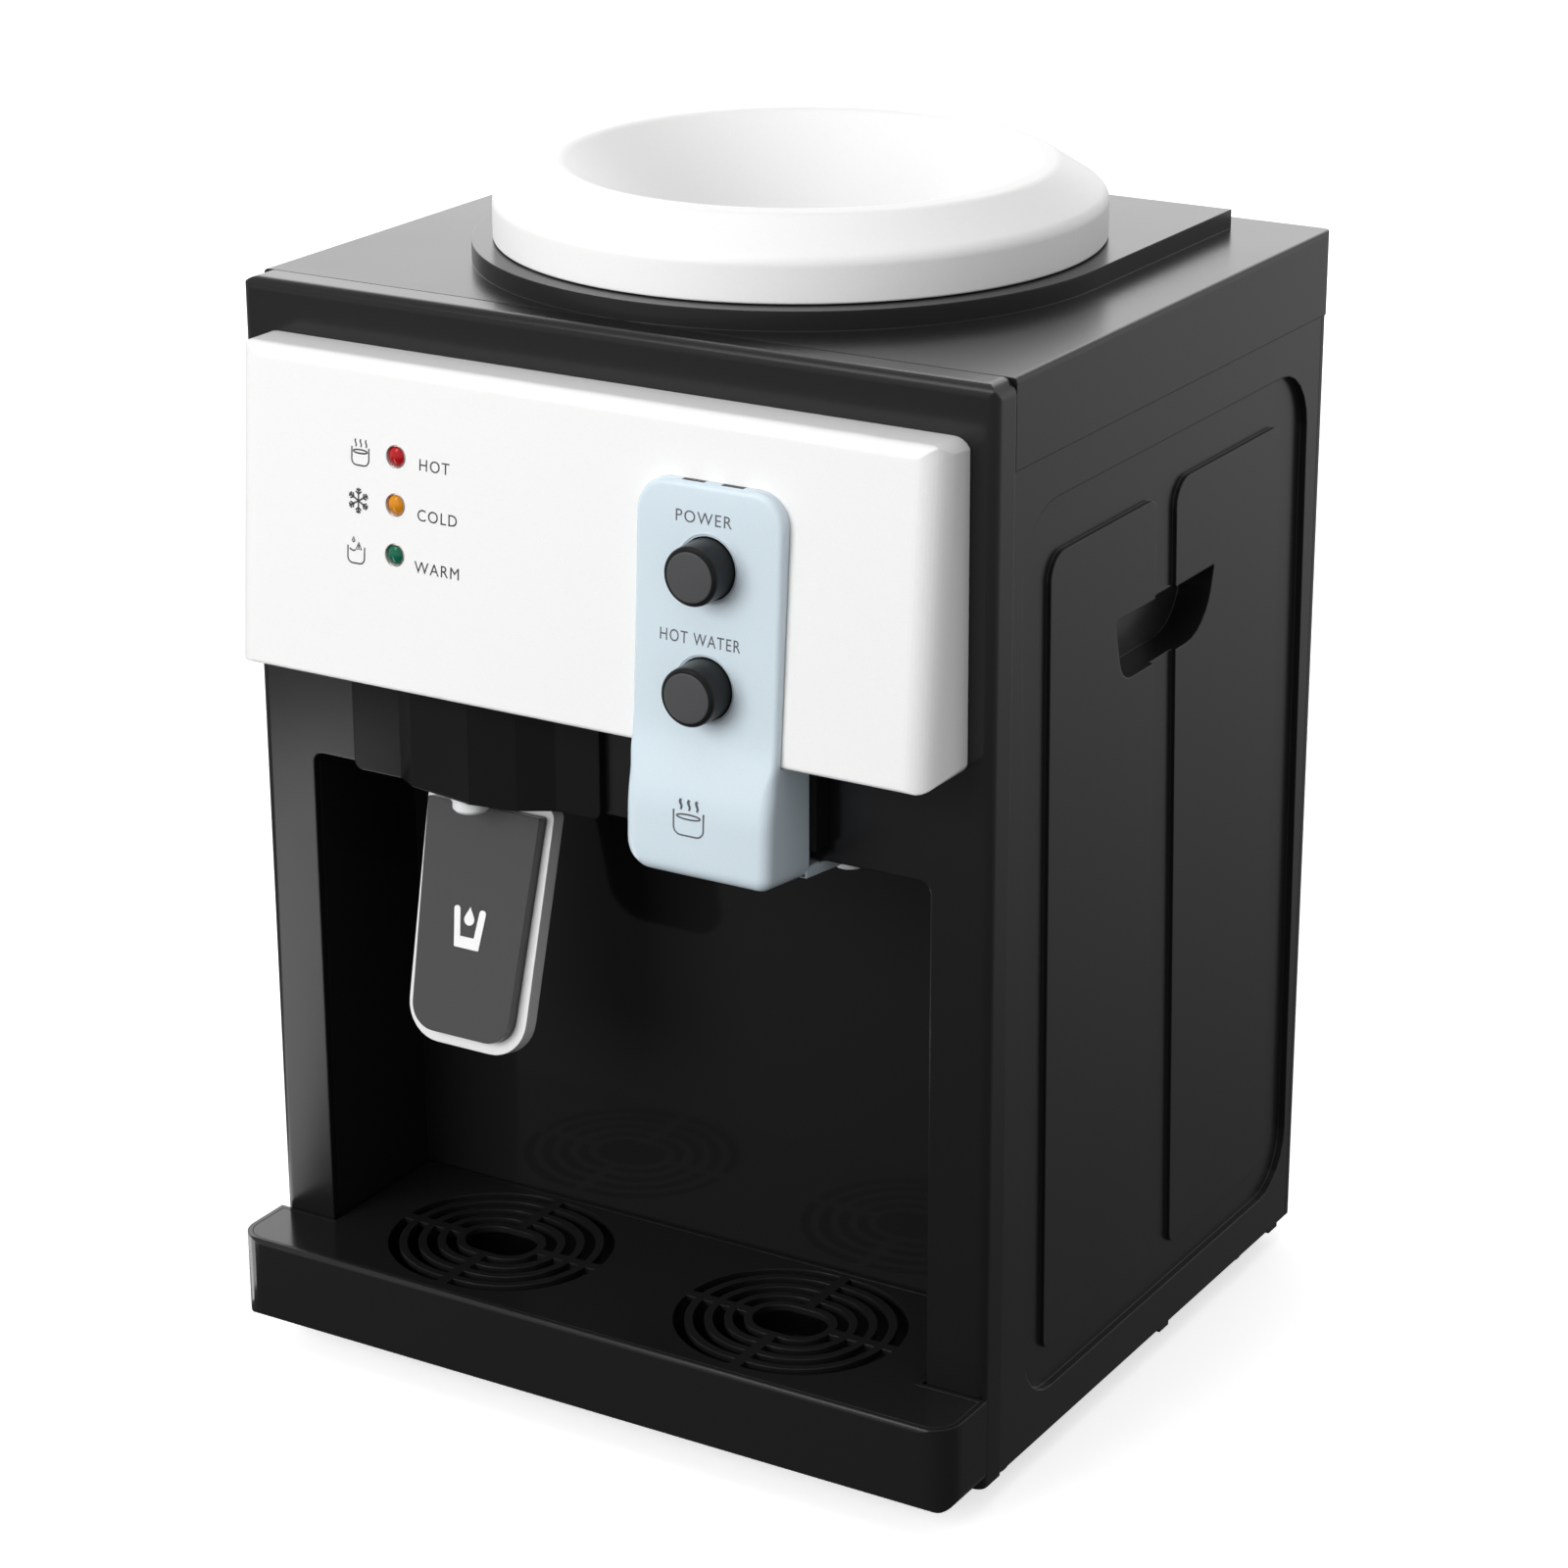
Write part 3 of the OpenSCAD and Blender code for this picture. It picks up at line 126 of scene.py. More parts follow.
def plastic(name, colour, rough, grain=2600.0, depth=0.02, vary=0.02, coat=0.0, edge=0.0005, shine=0.5):
    """Moulded plastic: fine grain in colour and bump, slowly varying gloss, and edges softened over edge metres."""
    mat, nodes, links, shader = new_material(name)
    coords = nodes.new("ShaderNodeTexCoord").outputs["Object"]
    slow = noise(nodes, links, coords, 14.0, 4.0)
    fine = noise(nodes, links, coords, grain, 2.0)
    dark = [c * 0.975 for c in colour]
    light = [min(1.0, c * 1.02) for c in colour]
    links.new(tint(nodes, links, spread(nodes, links, fine, 0.0, 1.0), dark, light), shader.inputs["Base Color"])
    links.new(spread(nodes, links, slow, rough - vary, rough + vary, 0.2, 0.8), shader.inputs["Roughness"])
    shader.inputs["IOR"].default_value = 1.5
    shader.inputs["Coat Weight"].default_value = coat
    shader.inputs["Coat Roughness"].default_value = 0.08
    shader.inputs["Specular IOR Level"].default_value = shine
    bump = bump_from(nodes, links, fine, depth)
    if edge > 0:
        soft = nodes.new("ShaderNodeBevel")
        soft.samples = 4
        soft.inputs["Radius"].default_value = edge
        links.new(soft.outputs["Normal"], bump.inputs["Normal"])
    links.new(bump.outputs["Normal"], shader.inputs["Normal"])
    return mat


def metal(name, colour, rough):
    """Drawn or rolled metal with a directional grain."""
    mat, nodes, links, shader = new_material(name)
    coords = nodes.new("ShaderNodeTexCoord").outputs["Object"]
    mapping = nodes.new("ShaderNodeMapping")
    mapping.inputs["Scale"].default_value = (1.0, 1.0, 40.0)
    links.new(coords, mapping.inputs["Vector"])
    grain = noise(nodes, links, mapping.outputs["Vector"], 60.0, 4.0)
    dark = [c * 0.85 for c in colour]
    links.new(tint(nodes, links, spread(nodes, links, grain, 0.0, 1.0), dark, colour), shader.inputs["Base Color"])
    links.new(spread(nodes, links, grain, rough - 0.07, rough + 0.07), shader.inputs["Roughness"])
    shader.inputs["Metallic"].default_value = 1.0
    links.new(bump_from(nodes, links, grain, 0.05).outputs["Normal"], shader.inputs["Normal"])
    return mat


# One finish for each material slot of the record.
M = {
    "frame_black": plastic("frame_black", (0.007, 0.007, 0.0073), 0.20, edge=0.0008),
    "casing_black": plastic("casing_black", (0.011, 0.011, 0.0115), 0.26, grain=1500.0, depth=0.03, edge=0.0006),
    "bay_black": plastic("bay_black", (0.010, 0.010, 0.0103), 0.07,
                         depth=0.003, vary=0.015, edge=0.0004, shine=0.34),
    "pearl_white": plastic("pearl_white", (0.87, 0.87, 0.865), 0.34, coat=0.1, edge=0.0008),
    "seat_white": plastic("seat_white", (0.89, 0.89, 0.885), 0.42, edge=0.0003),
    "pale_blue": plastic("pale_blue", (0.63, 0.73, 0.795), 0.20, coat=0.2, edge=0.0008),
    "button_grey": plastic("button_grey", (0.009, 0.0092, 0.0096), 0.30,
                           grain=1800.0, depth=0.06, edge=0.0007, shine=0.18),
    "paddle_silver": plastic("paddle_silver", (0.80, 0.80, 0.80), 0.22, edge=0.0006),
    "paddle_grey": plastic("paddle_grey", (0.15, 0.15, 0.152), 0.30, edge=0.0004),
    "icon_white": plastic("icon_white", (0.88, 0.88, 0.88), 0.30, edge=0.0),
    "lens_red": plastic("lens_red", (0.42, 0.006, 0.010), 0.10, edge=0.0),
    "lens_amber": plastic("lens_amber", (0.65, 0.24, 0.006), 0.10, edge=0.0),
    "lens_green": plastic("lens_green", (0.004, 0.12, 0.065), 0.10, edge=0.0),
    "spout_white": plastic("spout_white", (0.80, 0.82, 0.82), 0.25, edge=0.0003),
    "tray_black": plastic("tray_black", (0.011, 0.011, 0.0114), 0.16, edge=0.0006, shine=0.45),
    "rubber_black": plastic("rubber_black", (0.012, 0.012, 0.012), 0.75, depth=0.15, edge=0.0),
    "steel": metal("steel", (0.55, 0.56, 0.57), 0.28),
    "zinc": metal("zinc", (0.50, 0.50, 0.48), 0.36),
    "aluminium": metal("aluminium", (0.68, 0.69, 0.70), 0.36),
    "foam": plastic("foam", (0.72, 0.70, 0.64), 0.90, grain=700.0, depth=0.5, edge=0.0),
    "ceramic": plastic("ceramic", (0.80, 0.78, 0.74), 0.55, edge=0.0),
    "silicone": plastic("silicone", (0.62, 0.66, 0.67), 0.45, edge=0.0),
    "circuit_green": plastic("circuit_green", (0.012, 0.10, 0.035), 0.30, edge=0.0),
    "valve_cream": plastic("valve_cream", (0.62, 0.58, 0.50), 0.50, edge=0.0),
    "brass_band": metal("brass_band", (0.55, 0.42, 0.20), 0.35),
    "rocker_red": plastic("rocker_red", (0.36, 0.010, 0.014), 0.28, edge=0.0003),
    "rocker_green": plastic("rocker_green", (0.010, 0.15, 0.05), 0.28, edge=0.0003),
    "wire_black": plastic("wire_black", (0.016, 0.016, 0.017), 0.55, edge=0.0),
}
for part in frame["record"]["subparts"]:
    for held in NODES[part["node"]].material_slots:
        held.material = M[part["material_slot"]]

# Finishes that differ a little from their slot's.
TAP_BLACK = plastic("tap_black", (0.008, 0.008, 0.0083), 0.16, edge=0.0008, shine=0.16)
PAD_BLACK = plastic("pad_black", (0.056, 0.056, 0.057), 0.24, edge=0.0006, shine=0.45)
# The button faces take a lighter grey than the button sides: painted light for the sheen their fronts catch.
BUTTON_FACE_PAINTED_LIGHT = plastic("button_face_painted_light", (0.066, 0.067, 0.069), 0.34, grain=1800.0, depth=0.08, edge=0.0004, shine=0.4)
INK = plastic("print_ink", (0.030, 0.030, 0.033), 0.5, edge=0.0)
SOFT_INK = plastic("print_ink_soft", (0.10, 0.105, 0.115), 0.5, edge=0.0)
CHROME = metal("lens_ring", (0.75, 0.66, 0.62), 0.16)
for name, finish in (("cold_tap_housing", TAP_BLACK), ("hot_tap_body", TAP_BLACK), ("paddle_insert", PAD_BLACK)):
    for held in NODES[name].material_slots:
        held.material = finish

# ---------------------------------------------------------------- fine pieces

def link_piece(name, mesh, body):
    """A new object that moves with a CAD body; its finish comes with its mesh."""
    piece = bpy.data.objects.new(name, mesh)
    bpy.context.scene.collection.objects.link(piece)
    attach(piece, body)
    return piece


def mesh_piece(name, verts, faces, material, body, smooth=True):
    mesh = bpy.data.meshes.new(name)
    mesh.from_pydata(verts, [], faces)
    mesh.validate()
    work = bmesh.new()
    work.from_mesh(mesh)
    bmesh.ops.recalc_face_normals(work, faces=work.faces)
    work.to_mesh(mesh)
    work.free()
    mesh.materials.append(material)
    mesh.polygons.foreach_set("use_smooth", [smooth] * len(mesh.polygons))
    return link_piece(name, mesh, body)


def fascia_y(z):
    """The fascia's front, which leans forward towards its foot."""
    return -16.5 - 8.5 * (361.5 - z) / 106.5


def plate_y(z):
    """The upper front of the hot tap's cover."""
    return -22.4 - 5.2 * (COVER_HIGH - z) / 83.0


def nose_y(z):
    """The lower front of the hot tap's cover."""
    return -32.8 - 0.8 * (240.0 - z) / 24.0


PRINT_LIFT, PRINT_ROOT = 0.05, 0.1    # how far print stands proud of its surface, and how deep it starts


def ribbon(line, width, surface):
    """Raised printed line through (x, z) points that follows the surface behind it."""
    verts, faces = [], []
    count = len(line)
    closed = line[0] == line[-1]
    for i, (x, z) in enumerate(line):
        before = line[i - 1] if i > 0 else (line[-2] if closed else line[i])
        after = line[i + 1] if i < count - 1 else (line[1] if closed else line[i])
        dx, dz = after[0] - before[0], after[1] - before[1]
        size = math.hypot(dx, dz) or 1.0
        nx, nz = -dz / size * width / 2, dx / size * width / 2
        for side in (1, -1):
            px, pz = x + side * nx, z + side * nz
            verts.append(at(px, surface(pz) - PRINT_LIFT, pz))
            verts.append(at(px, surface(pz) + PRINT_ROOT, pz))
    for i in range(count - 1):
        a, b = 4 * i, 4 * (i + 1)
        faces += [(a, a + 2, b + 2, b), (a + 1, b + 1, b + 3, a + 3),
                  (a, b, b + 1, a + 1), (a + 2, a + 3, b + 3, b + 2)]
    if not closed:
        end = 4 * (count - 1)
        faces += [(0, 1, 3, 2), (end, end + 2, end + 3, end + 1)]
    return verts, faces


def printed(name, lines, width, surface, material):
    """A pictogram of printed lines."""
    verts, faces = [], []
    for line in lines:
        some_verts, some_faces = ribbon(line, width, surface)
        base = len(verts)
        verts += some_verts
        faces += [tuple(base + k for k in face) for face in some_faces]
    return mesh_piece(name, verts, faces, material, "casing", smooth=False)


def arc(cx, cz, rx, rz, start, stop, steps):
    """Points on an ellipse from one angle to another, in degrees."""
    turns = [math.radians(start + (stop - start) * k / steps) for k in range(steps + 1)]
    return [(cx + rx * math.cos(a), cz + rz * math.sin(a)) for a in turns]


def cup_lines(x0, x1, z0, z1, corner):
    """Outline of a bowl: two walls, round lower corners and a flat foot."""
    return ([(x0, z1)] + arc(x0 + corner, z0 + corner, corner, corner, 180, 270, 6)
            + arc(x1 - corner, z0 + corner, corner, corner, 270, 360, 6) + [(x1, z1)])


def steam_line(x, z0, z1, swing):
    """One wavy line of steam."""
    return [(x + swing * math.sin(2 * math.pi * k / 10), z0 + (z1 - z0) * k / 10) for k in range(11)]


def snow_lines(cx, cz, r):
    """A snow star: six arms with two pairs of twigs each."""
    lines = []
    for k in range(6):
        a = math.radians(90 + 60 * k)
        ux, uz = math.cos(a), math.sin(a)
        lines.append([(cx, cz), (cx + r * ux, cz + r * uz)])
        for reach, arm in ((0.52, 0.34), (0.76, 0.26)):
            bx, bz = cx + r * reach * ux, cz + r * reach * uz
            for turn in (-50, 50):
                b = a + math.radians(turn)
                lines.append([(bx, bz), (bx + r * arm * math.cos(b), bz + r * arm * math.sin(b))])
    return lines


def word(name, text, x0, x1, z0, z1, surface, material):
    """A printed word fitted between x0..x1 and z0..z1 on a leaning face."""
    data = bpy.data.curves.new(name, "FONT")
    data.body = text
    data.size = 1.0
    data.space_character = 1.16
    data.resolution_u = 4
    holder = bpy.data.objects.new(name + "_draft", data)
    bpy.context.scene.collection.objects.link(holder)
    bpy.context.view_layer.update()
    mesh = bpy.data.meshes.new_from_object(holder)
    bpy.data.objects.remove(holder)
    xs = [v.co.x for v in mesh.vertices]
    ys = [v.co.y for v in mesh.vertices]
    low_x, low_y = min(xs), min(ys)
    sx, sz = (x1 - x0) / (max(xs) - low_x), (z1 - z0) / (max(ys) - low_y)
    work = bmesh.new()
    work.from_mesh(mesh)
    grown = bmesh.ops.extrude_face_region(work, geom=list(work.faces))
    raised = {g for g in grown["geom"] if isinstance(g, bmesh.types.BMVert)}
    for v in work.verts:
        x, z = x0 + (v.co.x - low_x) * sx, z0 + (v.co.y - low_y) * sz
        v.co = at(x, surface(z) + (-PRINT_LIFT if v in raised else PRINT_ROOT), z)
    bmesh.ops.recalc_face_normals(work, faces=work.faces)
    work.to_mesh(mesh)
    work.free()
    mesh.materials.clear()
    mesh.materials.append(material)
    return link_piece(name, mesh, "casing")


def ring(name, x, z, surface, radius, tube, material, lift=0.0):
    """A fine round lip lying on a leaning face."""
    around, sides = 72, 10
    verts, faces = [], []
    for i in range(around):
        a = 2 * math.pi * i / around
        for k in range(sides):
            b = 2 * math.pi * k / sides
            reach = radius + tube * math.cos(b)
            px, pz = x + reach * math.cos(a), z + reach * math.sin(a)
            verts.append(at(px, surface(pz) - lift - tube * math.sin(b), pz))
    for i in range(around):
        for k in range(sides):
            j, m = (i + 1) % around, (k + 1) % sides
            faces.append((i * sides + k, j * sides + k, j * sides + m, i * sides + m))
    return mesh_piece(name, verts, faces, material, "casing")


# ---------------------------------------------------------------- hot tap cover

NOSE_Y = -33.6      # how far forward the nose reaches


def smooth_step(t):
    """0 up to t = 0, 1 from t = 1, with an even curve between."""
    t = min(1.0, max(0.0, t))
    return t * t * (3.0 - 2.0 * t)


def cover_front(z):
    """Depth of the cover's front: a leaning plate that swells into a nose."""
    return plate_y(z) + (nose_y(z) - plate_y(z)) * smooth_step((265.0 - z) / 30.0)


def cover_rear(z):
    """Depth of the cover's rear rim: on the fascia, and behind it below the fascia's foot."""
    return fascia_y(z) - 0.1 if z >= 255.0 else -8.0


def cover_bottom(z, y):
    """The underside drops a little towards the back."""
    return z - 0.11 * (y - NOSE_Y) if z < 222.0 and y > NOSE_Y else z


def cover_side(sign, low_r, high_r, inset_of):
    """One side of the cover's front outline, from the foot up to the top, inset by a distance for each height."""
    low, high, half = COVER_LOW, COVER_HIGH, COVER_HALF
    points = []
    levels = [low + low_r + 0.6, 227.0, 229.5, 232.0] + [234.0 + 1.5 * k for k in range(14)]
    levels += [254.9, 255.0, 257.0, 259.0, 261.0, 265.0, 270.0, 280.0, 295.0, 310.0, 322.0, high - high_r - 1.0]
    for k in range(9):
        reach = low_r - inset_of(low)
        a = math.radians(270.0 - 90.0 * k / 9.0)
        points.append((half - low_r + reach * -math.cos(a), low + low_r + reach * math.sin(a), low))
    for z in sorted(levels):
        points.append((half - inset_of(z), z, z))
    for k in range(11):
        a = math.radians(90.0 * k / 10.0)
        reach = high_r - inset_of(high)
        points.append((half - high_r + reach * math.cos(a), high - high_r + reach * math.sin(a), high))
    return [(COVER_X + sign * x, z, key) for x, z, key in points]


def cover_edge(z):
    """Rounding of the cover's front edge, which is softer round the nose."""
    return 2.0 + 2.2 * smooth_step((256.0 - z) / 10.0)


def hot_cover():
    """The pale blue cover: rounded layers from rear rim to front face, with a wall and two button holes."""
    layers = []
    steps = 6
    for layer in range(-1, steps + 1):
        turn = math.radians(90.0 * max(layer, 0) / steps)
        inset_of = lambda z, turn=turn: cover_edge(z) * (1.0 - math.cos(turn))
        outline = []
        left = cover_side(-1, 9.0, 11.0, inset_of)
        right = cover_side(1, 5.0, 11.0, inset_of)
        for x, z, key in left + right[::-1]:
            y = cover_front(z) + cover_edge(key) * (1.0 - math.sin(turn))
            if layer < 0:
                y = cover_rear(max(z, key) if key > 300 else z)
            outline.append(at(x, y, cover_bottom(z, y)))
        layers.append(outline)
    count = len(layers[0])
    verts = [p for points in layers for p in points]
    faces = []
    for k in range(len(layers) - 1):
        for i in range(count):
            j = (i + 1) % count
            faces.append((k * count + i, k * count + j, (k + 1) * count + j, (k + 1) * count + i))
    base, half_count = (len(layers) - 1) * count, count // 2
    for i in range(half_count - 1):
        faces.append((base + i, base + i + 1, base + count - 2 - i, base + count - 1 - i))
    shell = mesh_piece("hot_cover", verts, faces, M["pale_blue"], "casing")
    solid = shell.modifiers.new("wall", "SOLIDIFY")
    solid.thickness = 0.0016
    solid.offset = -1.0
    cutters = []
    for z in BUTTON_Z.values():
        bpy.ops.mesh.primitive_cylinder_add(vertices=96, radius=0.01010, depth=0.030,
                                            location=at(COVER_X, -30.0, z), rotation=(math.pi / 2, 0, 0))
        cutter = bpy.context.object
        hole = shell.modifiers.new("hole", "BOOLEAN")
        hole.operation = "DIFFERENCE"
        hole.solver = "EXACT"
        hole.object = cutter
        cutters.append(cutter)
    bpy.context.view_layer.update()
    done = bpy.data.meshes.new_from_object(shell.evaluated_get(bpy.context.evaluated_depsgraph_get()))
    shell.modifiers.clear()
    shell.data = done
    for cutter in cutters:
        bpy.data.objects.remove(cutter)
    done.set_sharp_from_angle(angle=math.radians(38.0))
    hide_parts("hot_tap_housing")
    return shell


def block_piece(name, spans, material, bevel=0.5):
    """Closed blocks given as x0, x1, y0, y1 and four heights: low front, low back, high front, high back."""
    verts, faces = [], []
    for x0, x1, y0, y1, a, b, c, d in spans:
        base = len(verts)
        for x in (x0, x1):
            verts += [at(x, y0, a), at(x, y1, b), at(x, y1, d), at(x, y0, c)]
        faces += [tuple(base + k for k in f) for f in
                  ((0, 1, 2, 3), (7, 6, 5, 4), (0, 4, 5, 1), (1, 5, 6, 2), (2, 6, 7, 3), (3, 7, 4, 0))]
    piece = mesh_piece(name, verts, faces, material, "casing", smooth=False)
    round_off = piece.modifiers.new("edge", "BEVEL")
    round_off.width = bevel * MM
    round_off.segments = 3
    return piece


hot_cover()
block_piece("hot_cover_tongue", [(27.8, 79.4, -9.0, -0.4, 213.5, 212.55, 217.3, 216.6),
                                 (65.6, 79.6, -9.0, 33.8, 213.4, 208.6, 217.0, 212.8)], M["pale_blue"])
# Two thin dark strips at the cover's top edge: painted shade standing in for the shadow inside its two notches.
block_piece("hot_cover_notch_shade", [(42.5, 50.5, -20.6, -18.6, 340.6, 340.6, 341.06, 341.06),
                                (56.5, 64.5, -20.6, -18.6, 340.6, 340.6, 341.06, 341.06)],
            M["button_grey"], bevel=0.1)

# ---------------------------------------------------------------- print and trims

word("word_hot", "HOT", -57.0, -45.4, 328.8, 332.6, fascia_y, INK)
word("word_cold", "COLD", -57.5, -42.2, 312.5, 316.3, fascia_y, INK)
word("word_warm", "WARM", -58.4, -41.1, 295.5, 299.3, fascia_y, INK)
word("word_power", "POWER", 41.8, 61.9, 328.5, 332.3, plate_y, SOFT_INK)
word("word_hot_water", "HOT WATER", 37.0, 66.0, 290.3, 294.2, plate_y, SOFT_INK)

printed("icon_hot", [cup_lines(-83.5, -76.8, 327.2, 333.1, 1.9), arc(-80.15, 331.7, 2.75, 0.6, 0, 360, 20)]
        + [steam_line(x, 333.2, 335.7, 0.22) for x in (-82.0, -80.0, -77.9)], 0.5, fascia_y, INK)
printed("icon_cold", snow_lines(-80.7, 315.6, 4.2), 0.55, fascia_y, INK)
printed("icon_warm", [cup_lines(-84.7, -78.1, 295.0, 300.6, 1.9),
                      [(-84.0, 299.6), (-82.6, 299.0), (-81.6, 299.4)],
                      [(-82.5, 303.6), (-83.0, 302.3), (-82.5, 301.8), (-82.0, 302.3), (-82.5, 303.6)],
                      [(-80.4, 302.0), (-81.4, 299.7), (-79.3, 299.7), (-80.4, 302.0)],
                      [(-80.4, 301.3), (-80.4, 299.9)]], 0.5, fascia_y, INK)
printed("icon_hot_water", [cup_lines(45.8, 56.7, 230.3, 238.3, 2.6), arc(51.25, 236.5, 4.3, 0.8, 0, 360, 24)]
        + [steam_line(x, 238.7, 242.1, 0.32) for x in (48.3, 51.3, 54.2)], 0.55, nose_y, SOFT_INK)


def button_face(button):
    """A satin disc with a soft rim, let into a push button's face, in a lighter grey than the button's side: painted
    light on the face.
    """
    z, front = BUTTON_Z[button], BUTTON_FACE_Y[button]
    profile = [(0.0, 0.10), (7.4, 0.10), (7.9, 0.06), (8.15, -0.05), (8.2, -0.30), (0.0, -0.30)]
    around = 96
    verts, faces = [at(COVER_X, front - profile[0][1], z)], []
    for reach, proud in profile[1:-1]:
        for i in range(around):
            a = 2 * math.pi * i / around
            verts.append(at(COVER_X + reach * math.cos(a), front - proud, z + reach * math.sin(a)))
    verts.append(at(COVER_X, front - profile[-1][1], z))
    for i in range(around):
        j = (i + 1) % around
        faces.append((0, 1 + i, 1 + j))
        for k in range(len(profile) - 3):
            a, b = 1 + k * around, 1 + (k + 1) * around
            faces.append((a + i, b + i, b + j, a + j))
        last = 1 + (len(profile) - 3) * around
        faces.append((last + i, len(verts) - 1, last + j))
    return mesh_piece(button + "_button_face", verts, faces, BUTTON_FACE_PAINTED_LIGHT, button + "_button")


for button in BUTTON_Z:
    button_face(button)
for lens, lens_z in LENS_Z.items():
    ring(lens + "_lens_ring", LENS_X, lens_z, fascia_y, 3.55, 0.28, CHROME)
for button, button_z in BUTTON_Z.items():
    ring(button + "_button_lip", COVER_X, button_z, plate_y, 10.95, 0.42, M["pale_blue"], lift=-0.12)


def pressed_spring(name, node):
    """A copy of a button's return spring, held by the casing in place of its CAD part; the real spring shortens as
    the button goes in, this copy stays at full length.
    """
    piece = link_piece(name, NODES[node].data.copy(), "casing")
    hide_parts(node)
    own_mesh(piece)


pressed_spring("power_spring_coil", "power_spring")
pressed_spring("hot_spring_coil", "hot_spring")

# ---------------------------------------------------------------- stage, camera and lights

def panel_light(name, place, look, size, level, glossy=True, diffuse=True):
    """Flat lamp of the given brightness (radiance) that the camera does not see, in metres."""
    data = bpy.data.lights.new(name, "AREA")
    data.shape = "RECTANGLE"
    data.size, data.size_y = size
    data.energy = level * math.pi * size[0] * size[1]
    lamp = bpy.data.objects.new(name, data)
    bpy.context.scene.collection.objects.link(lamp)
    lamp.location = place
    lamp.rotation_euler = (Vector(look) - Vector(place)).to_track_quat("-Z", "Y").to_euler()
    lamp.visible_camera = False
    lamp.visible_glossy = glossy
    lamp.visible_diffuse = diffuse
    return lamp


def unlit_white(name, strength, albedo):
    """A matt white that glows by itself, for the floor and the backdrop."""
    mat, nodes, links, shader = new_material(name)
    coords = nodes.new("ShaderNodeTexCoord").outputs["Object"]
    cloud = noise(nodes, links, coords, 0.4, 2.0)
    links.new(tint(nodes, links, cloud, (albedo * 0.99,) * 3, (albedo,) * 3), shader.inputs["Base Color"])
    shader.inputs["Roughness"].default_value = 0.9
    shader.inputs["Specular IOR Level"].default_value = 0.0
    shader.inputs["Emission Color"].default_value = (1.0, 1.0, 1.0, 1.0)
    shader.inputs["Emission Strength"].default_value = strength
    return mat


def stage_mesh(name, verts, faces, material):
    """A stage piece that the camera sees, and that neither lights nor shades the object."""
    mesh = bpy.data.meshes.new(name)
    mesh.from_pydata(verts, [], faces)
    mesh.materials.append(material)
    piece = bpy.data.objects.new(name, mesh)
    bpy.context.scene.collection.objects.link(piece)
    piece.visible_glossy = False
    piece.visible_diffuse = False
    piece.visible_shadow = False
    return piece


def make_stage():
    """A pale floor just under the feet, inside a wide round room."""
    reach, floor_z = 12.0, -0.0004
    corners = [(-reach, -reach, floor_z), (reach, -reach, floor_z), (reach, reach, floor_z), (-reach, reach, floor_z)]
    stage_mesh("floor", corners, [(0, 1, 2, 3)], unlit_white("floor_white", 0.62, 0.80))
    walls = [(reach * math.cos(math.radians(a)), reach * math.sin(math.radians(a))) for a in range(0, 360, 15)]
    verts = [(x, y, -0.01) for x, y in walls] + [(x, y, reach) for x, y in walls]
    count = len(walls)
    faces = [(i, (i + 1) % count, count + (i + 1) % count, count + i) for i in range(count)]
    faces.append(tuple(range(count, 2 * count)))
    stage_mesh("backdrop", verts, faces, unlit_white("backdrop_white", 1.05, 0.1))


def make_camera():
    azimuth, elevation, roll = math.radians(31.08), math.radians(20.29), math.radians(-0.227)
    target, distance = at(-6.3, 120.0, 188.0), 1.4853
    flat = math.cos(elevation)
    back = Vector((math.sin(azimuth) * flat, -math.cos(azimuth) * flat, math.sin(elevation)))
    data = bpy.data.cameras.new("camera")
    data.lens = 97.7
    data.sensor_width = 36.0
    camera = bpy.data.objects.new("camera", data)
    bpy.context.scene.collection.objects.link(camera)
    camera.location = target + back * distance
    camera.rotation_euler = (back.to_track_quat("Z", "Y").to_matrix() @ Matrix.Rotation(roll, 3, "Z")).to_euler()
    bpy.context.scene.camera = camera


def level_ramp(nodes, links, value, low, high, stops):
    """Brightness that follows a value between low and high through (place, level) stops."""
    share = nodes.new("ShaderNodeMapRange")
    share.inputs["From Min"].default_value = low
    share.inputs["From Max"].default_value = high
    links.new(value, share.inputs["Value"])
    ramp = nodes.new("ShaderNodeValToRGB")
    links.new(share.outputs["Result"], ramp.inputs["Fac"])
    bar = ramp.color_ramp
    bar.elements[0].position, bar.elements[0].color = 0.0, (stops[0][1],) * 3 + (1.0,)
    bar.elements[1].position, bar.elements[1].color = 1.0, (stops[-1][1],) * 3 + (1.0,)
    for place, level in stops[1:-1]:
        step = bar.elements.new((place - low) / (high - low))
        step.color = (level, level, level, 1.0)
    return ramp.outputs["Color"]


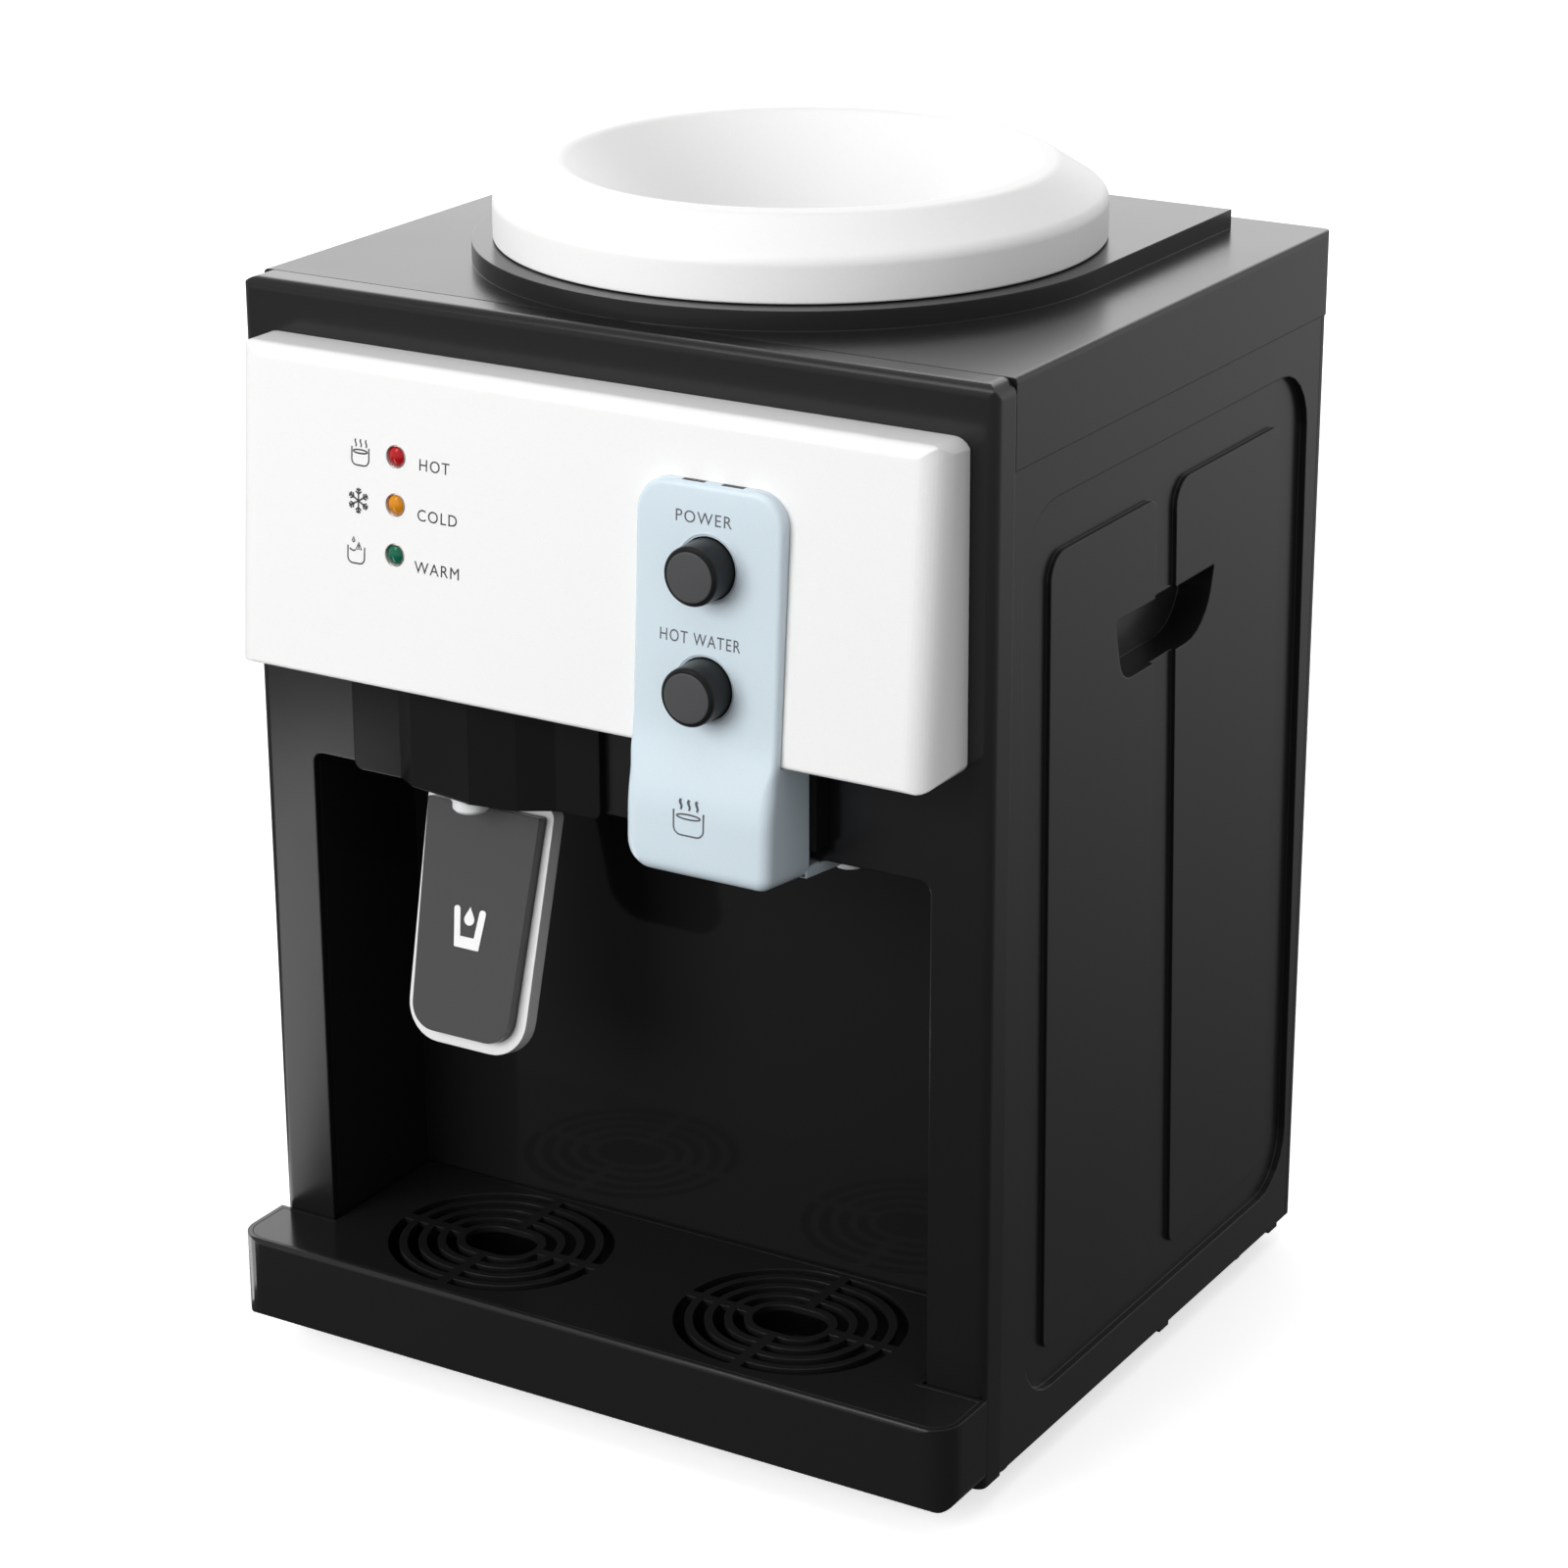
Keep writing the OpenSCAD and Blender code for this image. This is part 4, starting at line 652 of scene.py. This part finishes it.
def make_world():
    """Studio light all round: dim from below and from the front, brightest at the horizon and behind."""
    world = bpy.data.worlds.new("studio")
    bpy.context.scene.world = world
    world.use_nodes = True
    nodes, links = world.node_tree.nodes, world.node_tree.links
    nodes.clear()
    out = nodes.new("ShaderNodeOutputWorld")
    background = nodes.new("ShaderNodeBackground")
    split = nodes.new("ShaderNodeSeparateXYZ")
    links.new(nodes.new("ShaderNodeTexCoord").outputs["Generated"], split.inputs["Vector"])
    by_height = level_ramp(nodes, links, split.outputs["Z"], -1.0, 1.0,
                           [(-1.0, 0.10), (-0.44, 0.10), (-0.33, 0.35), (-0.25, 0.68),
                            (0.0, 1.05), (0.3, 0.85), (1.0, 0.75)])
    by_depth = level_ramp(nodes, links, split.outputs["Y"], -1.0, 1.0,
                          [(-1.0, 0.66), (-0.6, 0.66), (0.1, 0.80), (0.7, 1.0), (1.0, 1.0)])
    both = nodes.new("ShaderNodeMix")
    both.data_type = "RGBA"
    both.blend_type = "MULTIPLY"
    both.inputs["Factor"].default_value = 1.0
    links.new(by_height, both.inputs["A"])
    links.new(by_depth, both.inputs["B"])
    links.new(both.outputs["Result"], background.inputs["Color"])
    background.inputs["Strength"].default_value = 0.85
    links.new(background.outputs["Background"], out.inputs["Surface"])


make_camera()
make_world()
make_stage()
panel_light("key_softbox", (-0.80, -2.1, 1.00), (0.0, -0.05, 0.25), (1.4, 1.4), 6.7, glossy=False)
panel_light("key_glint", (-0.75, -1.5, 1.75), (0.0, -0.05, 0.3), (0.8, 0.8), 3.0, diffuse=False)
panel_light("top_softbox", (0.1, -0.3, 2.0), (0.0, 0.0, 0.3), (1.4, 1.4), 0.9)
panel_light("back_panel", (-0.97, 1.6, 1.10), (0.0, 0.0, 0.38), (2.2, 1.4), 1.15)
# A card that lies on the table and faces up: its reflection lights the front left post.
post_card = panel_light("post_card", (-0.352, -0.356, 0.004), (-0.352, -0.356, 1.0), (0.09, 0.60), 2.5, diffuse=False)
post_card.rotation_euler = (math.pi, 0.0, math.radians(149.1))

bpy.context.scene.view_settings.view_transform = "Standard"
bpy.context.scene.view_settings.look = "None"
